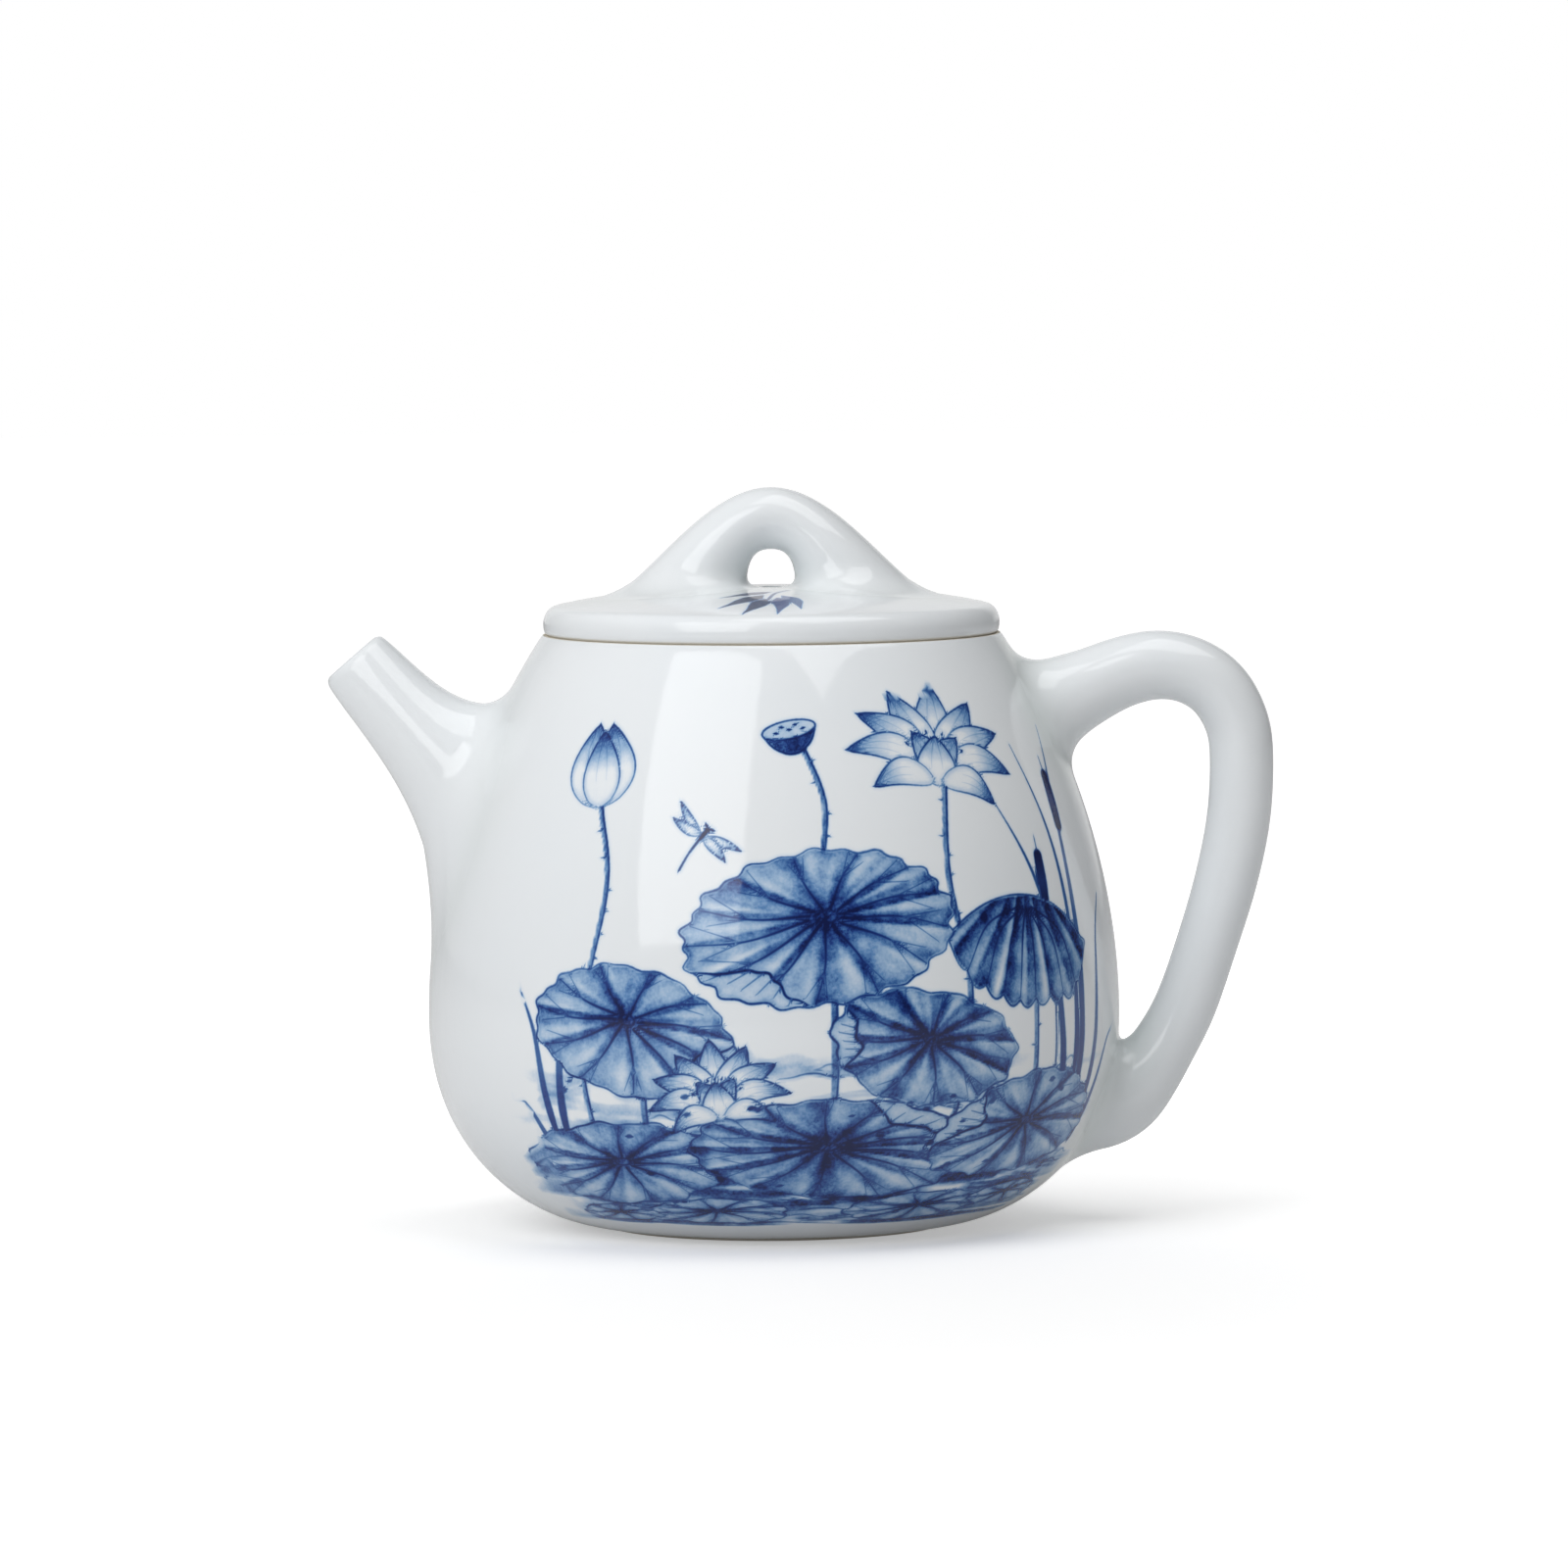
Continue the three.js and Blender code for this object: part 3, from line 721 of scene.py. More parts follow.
def bridge_flare(phi):
    """Fillet reach round a foot: wide in front and behind, tight in the eye."""
    inner, outer = np.clip(-np.cos(phi), 0, 1), np.clip(np.cos(phi), 0, 1)
    return 5.2 - 3.4 * inner**1.5 - 2.2 * outer**2


phis = np.linspace(0, 2 * math.pi, BRIDGE_SIDES, endpoint=False)
right, landing = joint_rings(bridge_point, phis, LID_TOP[::-1], bridge_flare, BRIDGE_ROWS)
mirrored = lambda ring: ring * (-1, 1, 1)
rings = [mirrored(ring) for ring in right[::-1]] + right[1:]
bridge_landing = np.vstack((landing, mirrored(landing)))
lid_bridge = finish_piece("bridge_knob", pull(rings, closed=False), "lid", "lid_bridge")

# %% [markdown]
# ## Strainer
#
# Behind the spout a pierced dome keeps the leaves in the pot. It only shows when the lid is off, but a
# pot like this has one. An arc spun about the port's own axis makes it, and round bars cut its holes.

# %% Spin the strainer's dome
STRAINER_RADIUS = PORT_RADIUS + 3.0
STRAINER_WALL = 1.6
ARC_SWEEP = math.radians(97)
ARC_POINTS = 15
DOME_COLUMNS = 64

seat = port_centre + port_inward * WALL
arc = []
for radius, order in ((STRAINER_RADIUS, 1), (STRAINER_RADIUS - STRAINER_WALL, -1)):
    angles = np.linspace(ARC_SWEEP, 0, ARC_POINTS)[::order]
    arc += [seat + radius * (math.cos(a) * port_inward + math.sin(a) * SIDEWAYS) for a in angles]
dome = bmesh.new()
verts = [dome.verts.new(place(*point)) for point in arc]
edges = [dome.edges.new((verts[i - 1], verts[i])) for i in range(1, len(verts)) if i != ARC_POINTS]
edges.append(dome.edges.new((verts[-1], verts[0])))
bmesh.ops.spin(
    dome, geom=verts + edges, cent=place(*seat), axis=port_inward, angle=2 * math.pi, steps=DOME_COLUMNS,
    use_merge=False, use_duplicate=False,
)
strainer = finish_piece("pierced_dome", sealed(dome), "pot", "strainer")

# %% Pierce the dome and the wall
STRAINER_HOLE = 1.0
STRAINER_RINGS = ((1, 0), (6, 27), (11, 52))
HOLE_SIDES = 32


def cut(piece, bars):
    """Cuts round bars, each given by its middle, direction, radius and length, out of a piece."""
    mesh = bmesh.new()
    for middle, direction, radius, length in bars:
        turn = Vector(direction).to_track_quat("Z", "Y").to_matrix().to_4x4()
        turn.translation = place(*middle)
        bmesh.ops.create_cone(
            mesh, cap_ends=True, segments=HOLE_SIDES, radius1=radius * MM, radius2=radius * MM,
            depth=length * MM, matrix=turn,
        )
    tool = add_object("bars", data_of("bars", mesh))
    modifier = piece.modifiers.new("cut", "BOOLEAN")
    modifier.operation, modifier.solver, modifier.object = "DIFFERENCE", "EXACT", tool
    whole = piece.data
    piece.data = bpy.data.meshes.new_from_object(piece.evaluated_get(bpy.context.evaluated_depsgraph_get()))
    piece.modifiers.clear()
    piece.data.shade_smooth()
    bpy.data.objects.remove(tool)
    bpy.data.meshes.remove(whole)
    print(f"{piece.name}: {len(piece.data.polygons)} faces after the cut")


holes = []
for count, tilt in STRAINER_RINGS:
    for turn in np.arange(count) * 2 * math.pi / count:
        lean = math.cos(turn) * SIDEWAYS + math.sin(turn) * port_up
        direction = math.cos(math.radians(tilt)) * port_inward + math.sin(math.radians(tilt)) * lean
        holes.append((seat + direction * STRAINER_RADIUS, direction, STRAINER_HOLE, 4 * STRAINER_WALL))
cut(strainer, holes)
cut(pot_body, [(seat, port_inward, PORT_RADIUS, 6 * WALL)])

# %% [markdown]
# ## The painting's canvas
#
# Underglaze blue is cobalt brushed on the raw clay: pale washes first, then darker lines. A picture could
# be an image, but an image can't follow this curved wall without stretching. So the picture is painted on
# the mesh itself. Every vertex of the fine window keeps how much wash it carries, and for the lines it
# keeps the distance to the nearest brush stroke, with a sign for its side. A distance runs straight
# between vertices where a colour would blur, so thin lines stay sharp. The canvas takes in the whole
# wall, but the vertices of its inner skin are put out of the brush's reach.

# %% Spread the canvas over the wall
FAR = 9.0
OUT_OF_REACH = -10 * FAR
WALL_LENGTH = lengths(OUTSIDE[::-1])


def climb_at(height):
    """Length along the wall from the base up to a height."""
    return np.interp(height, OUTSIDE[::-1, 1], WALL_LENGTH)


def blank(turn, climb, girth):
    """A canvas without wash or lines, from where its vertices lie."""
    fields = {"turn": turn, "climb": climb, "girth": girth}
    for name, value in (("side", FAR), ("near", FAR), ("half", 0.1), ("tone", 0.0), ("wash", 0.0)):
        fields[name] = np.full(len(turn), value)
    return fields


x, y, z = local_points(pot_body).T
girth = np.hypot(x, y)
outside = girth > wall_radius(z) - WALL / 2
canvas = blank(np.arctan2(x, -y), np.where(outside, climb_at(z), OUT_OF_REACH), girth)
print("canvas of", int(outside.sum()), "vertices, wall", round(WALL_LENGTH[-1], 1), "mm long")

# %% [markdown]
# ## Brush and wash
#
# `brush` draws a line, `sweep` drags a broad wet brush, and `lay_wash` fills an outline and covers what was
# painted beneath, so the pond is painted from its back to its front. All work in millimetres about a
# motif's own spot, which is an angle round the pot from the front, a height and, where it leans, a tilt.

# %% Find the canvas about a spot
def seen_from(spot):
    """Where the canvas lies about a spot, in millimetres across and up, turned by the spot's tilt."""
    angle, height, tilt = (*spot, 0)[:3]
    across = (canvas["turn"] - math.radians(angle)) * canvas["girth"]
    up = canvas["climb"] - climb_at(height)
    c, s = math.cos(math.radians(tilt)), math.sin(math.radians(tilt))
    return c * across + s * up, c * up - s * across


def soft_line(points, fineness=6):
    """A smooth line through points."""
    points = np.array(points, float)
    return through(points, fineness) if len(points) > 2 else points


def beside(spot, line, margin):
    """The canvas vertices within a margin of a line's box, and where they lie about the line's spot."""
    u, v = seen_from(spot)
    low, high = line.min(0) - margin, line.max(0) + margin
    near = np.flatnonzero((u > low[0]) & (u < high[0]) & (v > low[1]) & (v < high[1]))
    return near, u[near], v[near]


def to_line(u, v, line):
    """Distances to a line of points, signed by side, and where along it, from 0 to 1."""
    start, step = line[:-1], np.diff(line, axis=0)
    length2 = np.maximum((step**2).sum(1), 1e-12)
    du, dv = u[:, None] - start[:, 0], v[:, None] - start[:, 1]
    share = np.clip((du * step[:, 0] + dv * step[:, 1]) / length2, 0, 1)
    gap = np.hypot(du - share * step[:, 0], dv - share * step[:, 1])
    best = gap.argmin(1)
    rows = np.arange(len(u))
    cross = step[best, 0] * dv[rows, best] - step[best, 1] * du[rows, best]
    length = np.r_[0, np.cumsum(np.sqrt(length2))]
    along = (length[best] + share[rows, best] * np.sqrt(length2[best])) / length[-1]
    return gap[rows, best], np.where(cross < 0, -1.0, 1.0), along


def inside_of(u, v, outline):
    """Whether points lie inside a closed outline, by counting how often a line to the right crosses it."""
    a, b = outline, np.roll(outline, -1, axis=0)
    over = (a[:, 1] > v[:, None]) != (b[:, 1] > v[:, None])
    rise = np.where(b[:, 1] == a[:, 1], 1.0, b[:, 1] - a[:, 1])
    at = a[:, 0] + (v[:, None] - a[:, 1]) / rise * (b[:, 0] - a[:, 0])
    return ((over & (u[:, None] < at)).sum(1) % 2) == 1


# %% A helper that draws a stroke
MARGIN = 1.6
rng = np.random.default_rng(7)


def brush(spot, points, widths, tone):
    """A stroke whose half width and tone run through the given values from its start to its end."""
    line = soft_line(points)
    widths, tone = np.atleast_1d(widths).astype(float), np.atleast_1d(tone).astype(float)
    near, u, v = beside(spot, line, MARGIN + widths.max())
    gap, sign, along = to_line(u, v, line)
    half, load = (np.interp(along, np.linspace(0, 1, len(given)), given) for given in (widths, tone))
    closer = gap - half < canvas["near"][near] - canvas["half"][near]
    for name, values in (("near", gap), ("side", gap * sign), ("half", half), ("tone", load)):
        canvas[name][near[closer]] = values[closer]


# %% Helpers that lay a wash and drag a wet brush
BRISTLES = 7
SOFT_SIDES, SOFT_START, SOFT_END = 0.4, 0.12, 0.25


def lay_wash(spot, outline, strength, softness=0.3):
    """Fills an outline with a wash, whose strength is a value or a function of across, up and depth in."""
    outline = np.array(outline, float)
    near, u, v = beside(spot, outline, 0)
    inside = inside_of(u, v, outline)
    near, u, v = near[inside], u[inside], v[inside]
    depth = to_line(u, v, np.vstack((outline, outline[:1])))[0]
    value = strength(u, v, depth) if callable(strength) else strength
    canvas["wash"][near] += (value - canvas["wash"][near]) * np.clip(depth / softness, 0, 1)
    for name in ("side", "near"):
        canvas[name][near] = FAR


def sweep(spot, points, half, strength):
    """A broad wet stroke laid over what is there, with streaks where its bristles part."""
    line = soft_line(points)
    near, u, v = beside(spot, line, half)
    if not len(near):
        return
    gap, sign, along = to_line(u, v, line)
    hairs = rng.uniform(0.25, 1.0, BRISTLES)
    streaks = np.interp(gap * sign / half, np.linspace(-1, 1, BRISTLES), hairs)
    body = np.clip((1 - gap / half) / SOFT_SIDES, 0, 1)
    load = np.clip(along / SOFT_START, 0, 1) * np.clip((1 - along) / SOFT_END, 0, 1)
    canvas["wash"][near] = 1 - (1 - canvas["wash"][near]) * (1 - strength * streaks * body * load)


def show_progress(what):
    """Prints how much of the canvas is painted."""
    painted = (canvas["wash"] > 0.05) | (canvas["near"] < canvas["half"])
    print(f"painted share after {what} {painted.mean():.2f}")


# %% [markdown]
# ## Leaves
#
# A lotus leaf is a shallow bowl with veins from its hub to a wavy rim. Painters wash it dark beside each
# vein and let the wash thin out towards the next one, and then they draw the veins over it. A stretch of
# the rim may curl over and show the leaf's pale back.

# %% Helpers that shape a leaf's rim
VEIN_BLUR = 0.8


def rotated(vector, angle):
    """A flat vector turned by an angle in radians."""
    c, s = math.cos(angle), math.sin(angle)
    return np.array((c * vector[0] - s * vector[1], s * vector[0] + c * vector[1]))


def leaf_rim(size, waves, seed):
    """The wavy rim of an open leaf as a function of the angle about its hub."""
    chance = np.random.default_rng(seed)
    shifts, sizes = chance.uniform(0, 2 * math.pi, 3), chance.uniform(0.6, 1.2, 3)
    kinds = ((0.035, waves), (0.03, 3), (0.018, 2 * waves + 1))

    def rim(angle):
        wave = sum(
            height * sizes[k] * np.sin(count * angle + shifts[k]) for k, (height, count) in enumerate(kinds)
        )
        return np.column_stack((size[0] * np.cos(angle), size[1] * np.sin(angle))) * (1 + wave)[:, None]

    return rim


# %% A helper that paints an open leaf
def open_leaf(spot, size, hub, veins, seed, dark, turned=None):
    """A leaf seen from above: a wavy rim, pleats of wash and forked veins. `hub` is a share of its size."""
    rim = leaf_rim(size, veins, seed)
    centre = np.array(hub) * size
    ends = rim((np.arange(veins) + 0.5) / veins * 2 * math.pi)
    chance = np.random.default_rng(seed + 100)
    loads = chance.uniform(0.55, 1.15, veins)
    waves, phases = chance.uniform(14, 34, 4), chance.uniform(0, 6, 4)
    bearings = np.sort(np.arctan2((ends - centre)[:, 1] / size[1], (ends - centre)[:, 0] / size[0]))

    def pleats(u, v, depth):
        x, y = (u - centre[0]) / size[0], (v - centre[1]) / size[1]
        angle, out = np.arctan2(y, x), np.hypot(x, y)
        after = np.searchsorted(bearings, angle) % veins
        before = (after - 1) % veins
        width = (bearings[after] - bearings[before]) % (2 * math.pi)
        share = ((angle - bearings[before]) % (2 * math.pi)) / np.maximum(width, 1e-6)
        streaks = sum(np.sin(w * angle + p + 2 * out) for w, p in zip(waves, phases)) / 4
        span = width * np.hypot(u - centre[0], v - centre[1])
        crossing = np.clip((share - 1) / (VEIN_BLUR / np.maximum(span, 2 * VEIN_BLUR)) + 1, 0, 1) ** 2
        value = 0.16 + 0.50 * ((1 - share) ** 1.5 * loads[before] + crossing * loads[after])
        value += 0.42 * np.exp(-((out / 0.36) ** 2))
        value += 0.24 * np.exp(-depth / 0.8) - 0.10 * np.clip(out - 0.5, 0, 1) + 0.10 * streaks
        return dark * np.clip(value, 0.05, 1)

    lay_wash(spot, rim(np.linspace(0, 2 * math.pi, 120, endpoint=False)), pleats)
    for end in ends:
        rib = end - centre
        start, bend = centre + rib * 0.13, np.array((-rib[1], rib[0])) * 0.05
        brush(spot, (start, (start + end) / 2 + bend, end * 0.98), (0.20, 0.12, 0.05), (0.95, 0.7))
        for lean in (-0.13, 0.13):
            fork = (centre + rib * 0.6 + bend, centre + rotated(rib, lean) * 0.92)
            brush(spot, fork, (0.08, 0.03), 0.6)
    brush(spot, centre + rim(np.linspace(0, 2 * math.pi, 13)) * 0.08, 0.14, 0.9)
    edge = rim(np.linspace(0, 2 * math.pi, 121))
    brush(spot, edge, chance.uniform(0.05, 0.17, 24), chance.uniform(0.55, 1.0, 16))
    if turned:
        turned_edge(spot, rim, *turned)


# %% A helper that curls a leaf's rim over
def turned_edge(spot, rim, start, end, width):
    """A stretch of the rim, between two angles in degrees, that curls over."""
    angle = np.linspace(math.radians(start), math.radians(end), 30)
    outer = rim(angle)
    share = np.sin(np.linspace(0, math.pi, 30))[:, None]
    inner = outer * (1 - width * share * (1 + 0.25 * np.cos(5 * angle))[:, None])
    back = lambda u, v, depth: 0.16 + 0.25 * np.exp(-depth / 0.35)
    lay_wash(spot, np.vstack((outer, inner[::-1])), back)
    brush(spot, inner, (0.1, 0.2, 0.2, 0.1), 0.95)
    brush(spot, outer, (0.1, 0.17, 0.1), 0.85)
    for share in np.linspace(0.15, 0.85, 6):
        row = int(share * 29)
        brush(spot, (inner[row], inner[row] * 0.35 + outer[row] * 0.65), (0.1, 0.05), 0.6)


# %% A helper that paints a hanging leaf
def hanging_leaf(spot, width, height, seed, dark, veins=9):
    """A leaf seen from the side, hanging like an umbrella from the top of its stem."""
    chance = np.random.default_rng(seed)
    across = np.linspace(-1, 1, veins + 1)
    drop = 0.42 + 0.5 * np.sqrt(np.clip(1 - across**2, 0, 1))
    hem = np.column_stack((width * across, -height * drop + chance.uniform(-0.5, 0.5, veins + 1)))
    hem = through(hem, 8)
    hem[:, 1] -= np.abs(np.sin(np.linspace(0, math.pi * veins, len(hem)))) * height * 0.07
    top = np.linspace(width, -width, 24)
    top = np.column_stack((top, -height * 0.42 * (np.abs(top) / width) ** 2.2))
    outline = np.vstack((hem, top[1:-1]))

    def folds(u, v, depth):
        turn = np.arctan2(u, 0.35 * height - v)
        share = (turn / 1.15 * veins / 2) % 1
        down = np.clip(-v / height, 0, 1)
        streaks = np.sin(23 * turn + seed) + np.sin(37 * turn + 2 * seed)
        fold = (1 - share) ** 1.5 + np.clip((share - 1) / 0.25 + 1, 0, 1) ** 2
        value = 0.30 + 0.50 * fold - 0.30 * down + 0.22 * np.exp(-depth / 0.7) + 0.05 * streaks
        return dark * np.clip(value, 0.05, 1)

    lay_wash(spot, outline, folds)
    for end in hem[8:8 * veins:8]:
        start, middle = end * 0.1 + (0, -0.03 * height), end * 0.55 + (end[0] * 0.12, height * 0.10)
        brush(spot, (start, middle, end * 0.985), (0.18, 0.12, 0.05), (0.95, 0.65))
    edge = np.vstack((outline, outline[:1]))
    brush(spot, edge, chance.uniform(0.06, 0.16, 20), chance.uniform(0.6, 1.0, 12))


print("leaves ready")

# %% [markdown]
# ## Blossoms, buds and seed heads
#
# A petal is left white. Its tip gets a touch of wash and its length a few hair lines. Petals are painted
# from the back of the flower to its front, each one covering the last.

# %% A helper that paints a petal
def petal(spot, base, tip, width, bend=0.0, tint=0.5):
    """One pointed petal from its base to its tip."""
    base, tip = np.array(base, float), np.array(tip, float)
    axis = tip - base
    length = np.hypot(*axis)
    across = np.array((-axis[1], axis[0])) / length
    shares = np.linspace(0, 1, 15)
    swell = np.sin(math.pi * shares**0.8) ** 0.75 * (1 - 0.25 * shares)
    spine = base + axis * shares[:, None] + across * (bend * np.sin(math.pi * shares) * length)[:, None]
    sides = [spine + across * (sign * width * swell)[:, None] for sign in (1, -1)]

    def tipped(u, v, depth):
        along = ((u - base[0]) * axis[0] + (v - base[1]) * axis[1]) / length**2
        value = tint * np.clip((along - 0.45) / 0.5, 0, 1) ** 1.4
        return 0.03 + value + 0.10 * np.exp(-depth / 0.3) + 0.12 * np.clip(0.3 - along, 0, 1)

    lay_wash(spot, np.vstack((sides[0], sides[1][-2:0:-1])), tipped, softness=0.15)
    for offset in (-1 / 3, 1 / 3):
        hair = spine[5:14] + across * (offset * width * swell * 0.85)[5:14, None]
        brush(spot, hair, (0.0, 0.03, 0.06), (0.15, 0.45))
    for side in sides:
        brush(spot, side, (0.05, 0.11, 0.13), (0.6, 0.75, 1.0))


# %% Helpers that paint an open flower
def heading(angle):
    """A flat direction at an angle in degrees."""
    return rotated((1.0, 0.0), math.radians(angle))


def blossom(spot, size):
    """An open flower: back petals, spread petals, the seed head with its stamens, and front petals."""
    def petals(rows, base, base_drop=0.0, tip_drop=0.0):
        for angle, long, wide, bend in rows:
            way = heading(angle)
            start, end = way * base * size - (0, base_drop * size), way * long * size - (0, tip_drop * size)
            petal(spot, start, end, wide * size, bend)

    petals(((90, 1.0, 0.27, 0.0), (58, 0.98, 0.25, 0.0), (122, 0.98, 0.25, 0.0)), 0.1)
    petals(((30, 1.04, 0.22, 0.10), (150, 1.04, 0.22, -0.10)), 0.1)
    petals(((4, 1.05, 0.19, 0.16), (176, 1.05, 0.19, -0.16)), 0.1)
    for angle in np.linspace(35, 145, 9):
        start, end = heading(angle) * 0.16 * size, heading(angle) * 0.42 * size
        brush(spot, (start, end), (0.05, 0.04), 0.6)
        brush(spot, (end, end * 1.03), 0.17, 0.85)
    petals(((62, 0.6, 0.24, 0.06), (118, 0.6, 0.24, -0.06), (90, 0.52, 0.27, 0.0)), -0.2, tip_drop=0.14)
    petals(((-22, 0.82, 0.18, 0.18), (202, 0.82, 0.18, -0.18)), 0.05, base_drop=0.1)


# %% Helpers that paint a bud and a seed head
def bud(spot, size):
    """A closed flower: two side petals and one in front."""
    petal(spot, (-0.05 * size, 0), (-0.08 * size, 1.02 * size), 0.3 * size, 0.1)
    petal(spot, (0.05 * size, 0), (0.1 * size, 1.0 * size), 0.3 * size, -0.1)
    petal(spot, (0, 0), (0, 0.92 * size), 0.27 * size, tint=0.7)


def seed_head(spot, size):
    """A seed pod: a cone that opens upwards under a flat top with its seeds."""
    around = np.linspace(0, 2 * math.pi, 32, endpoint=False)
    top = np.column_stack((size * np.cos(around), 0.36 * size * np.sin(around) + 0.9 * size))
    half_cup = np.array(((-1, 0.86), (-0.72, 0.35), (-0.3, 0.02), (0, -0.04)))
    cup = soft_line(np.vstack((half_cup, half_cup[-2::-1] * (-1, 1))) * size)
    lay_wash(spot, cup, lambda u, v, depth: 0.72 + 0.25 * u / size + 0.2 * np.exp(-depth / 0.4))
    lay_wash(spot, top, 0.14)
    for x in (-0.55, -0.2, 0.2, 0.55):
        brush(spot, ((x * 1.2 * size, 0.6 * size), (x * 0.6 * size, 0.12 * size)), (0.1, 0.05), 0.8)
    brush(spot, cup, (0.1, 0.17, 0.2, 0.17, 0.1), 0.95)
    brush(spot, np.vstack((top, top[:1])), 0.12, 0.9)
    for x, y in ((0, 0.9), (-0.5, 0.86), (0.5, 0.86), (-0.25, 1.05), (0.27, 1.06)):
        seed = np.array((x * size, y * size))
        brush(spot, (seed, seed + (0.06, 0)), 0.2, 0.9)


print("flowers ready")

# %% [markdown]
# ## Stems, reeds, water and a dragonfly
#
# Stems and blades are single strokes of a loaded brush, which starts dark, swells and dries out at its
# tip. Water is a few level strokes with room between them.

# %% Helpers that paint stems, blades, ripples and a dragonfly
THORNS_FROM, THORN_SPACING = 1.5, 3.6


def stem(spot, points, half):
    """A lotus stem: a broad pale stroke with a dark line along one side and small thorns."""
    line = soft_line(points)
    along = unit(np.gradient(line, axis=0))
    across = np.column_stack((-along[:, 1], along[:, 0]))
    lay_wash(spot, np.vstack((line + across * half, (line - across * half)[::-1])), 0.5, softness=0.12)
    brush(spot, line - across * half * 0.75, (0.16, 0.1, 0.16), (0.95, 0.7, 0.9))
    chance = np.random.default_rng(len(line))
    for mark in np.arange(THORNS_FROM, lengths(line)[-1], THORN_SPACING):
        row = int(np.searchsorted(lengths(line), mark))
        side = across[row] * chance.choice((-1.0, 1.0))
        thorn = line[row] + side * (half + 0.05)
        brush(spot, (thorn, thorn + side * 0.3), (0.12, 0.04), 0.8)


def blade(spot, points, half):
    """A grass blade: one stroke that swells and then thins to its tip."""
    brush(spot, points, (half * 0.5, half, half * 0.8, half * 0.45, 0.04), (0.9, 0.6, 0.75))


def ripple(spot, length, tone):
    """A level stroke on the water."""
    marks = np.linspace(-0.5, 0.5, 6)
    rise = 0.35 * np.cos(marks * math.pi * 2.2) + rng.uniform(-0.12, 0.12, 6)
    brush(spot, np.column_stack((marks * length, rise)), (0.04, 0.11, 0.11, 0.04), (tone * 0.6, tone))


def dragonfly(spot, size):
    """A dragonfly with its four wings spread."""
    for x, y, wide in ((1.0, 0.35, 0.13), (-1.0, 0.35, 0.13), (0.86, -0.12, 0.15), (-0.86, -0.12, 0.15)):
        base = np.array((0.07 * np.sign(x), 0.1)) * size
        petal(spot, base, base + np.array((x, y)) * size, wide * size, 0.04, tint=0.2)
    brush(spot, ((0, 0.34 * size), (0.01 * size, 0)), (0.3, 0.36, 0.24), 1.0)
    tail = ((0, 0), (0.03 * size, -0.5 * size), (0.12 * size, -1.0 * size))
    brush(spot, tail, (0.2, 0.13, 0.15), 0.95)
    for x in (-0.09, 0.09):
        brush(spot, ((x * size, 0.4 * size), (x * 1.3 * size, 0.41 * size)), 0.2, 1.0)


print("brushes ready")

# %% [markdown]
# ## The lotus pond
#
# The pond fills the front of the pot: reeds and far stems first, then the tall leaves and flowers, and
# last the leaves that float in front. It is a generic pond of the traditional kind, with its weight low
# and to the right.

# %% Paint the far water: pale level sweeps between the stems, and darker ones lower down
for low, high, count, strength in (
    (15, 25, 34, 0.26), (8, 17, 60, 0.55), (6, 12, 60, 0.95), (3.4, 6.5, 40, 0.4),
):
    for _ in range(count):
        spot = (rng.uniform(-41, 63), rng.uniform(low, high))
        length, rise = rng.uniform(7, 19), rng.uniform(-0.7, 0.7, 4)
        points = np.column_stack((np.linspace(-0.5, 0.5, 4) * length, rise))
        sweep(spot, points, rng.uniform(0.5, 1.5), strength * rng.uniform(0.4, 1.0))
show_progress("the far water")

# %% Paint the reeds on the right and the grass on the left
for spot, points, half in (
    ((61, 12), ((0, 0), (0.5, 20), (1.5, 41), (5.5, 54)), 0.75),
    ((57, 12), ((0, 0), (-1.5, 16), (-3.5, 33), (-8.5, 46)), 0.7),
    ((64, 12), ((0, 0), (2.0, 13), (4.0, 26), (8.5, 33)), 0.65),
    ((59, 12), ((0, 0), (0.5, 18), (0.2, 38), (-2.5, 52)), 0.6),
    ((66, 12), ((0, 0), (2.0, 7), (5.0, 13), (9.0, 15)), 0.55),
    ((-40, 12), ((0, 0), (-0.8, 8), (-2.0, 16), (-5.5, 23)), 0.6),
    ((-38, 12), ((0, 0), (0.2, 9), (1.2, 18), (4.2, 25)), 0.65),
    ((-41, 11), ((0, 0), (-1.5, 4), (-3.6, 8), (-6.5, 9)), 0.5),
):
    blade(spot, points, half)
for spot, points in (
    ((60, 12), ((0, 0), (1.0, 22), (2.4, 41))), ((54, 12), ((0, 0), (-0.5, 14), (-0.6, 31))),
):
    brush(spot, points, (0.2, 0.16, 0.14), 0.75)
    x, y = points[-1]
    brush(spot, ((x, y), (x + 0.4, y + 6.5)), (0.85, 1.0, 0.85), (1.0, 0.85, 1.0))
    brush(spot, ((x + 0.4, y + 6.9), (x + 0.5, y + 9)), (0.14, 0.05), 0.8)
show_progress("the reeds")

# %% Paint the stems behind the leaves, from the water up
for spot, points, half in (
    ((8, 10), ((0, 0), (1.5, 14), (1.0, 31)), 0.5),
    ((30, 12), ((0, 0), (3.0, 20), (1.2, 36), (3.2, 50)), 0.42),
    ((-31, 9), ((0, 0), (-1.5, 20), (1.0, 38), (-1.6, 49)), 0.36),
    ((11, 36), ((0, 0), (-1.6, 12), (-1.0, 21), (-3.4, 29)), 0.36),
    ((50, 12), ((0, 0), (-1.5, 14), (-0.5, 29)), 0.46),
    ((-20, 8), ((0, 0), (-1.5, 10), (-1.0, 20)), 0.42),
    ((25, 12), ((0, 0), (0.8, 8), (0.2, 14)), 0.4),
):
    stem(spot, points, half)
show_progress("the stems")

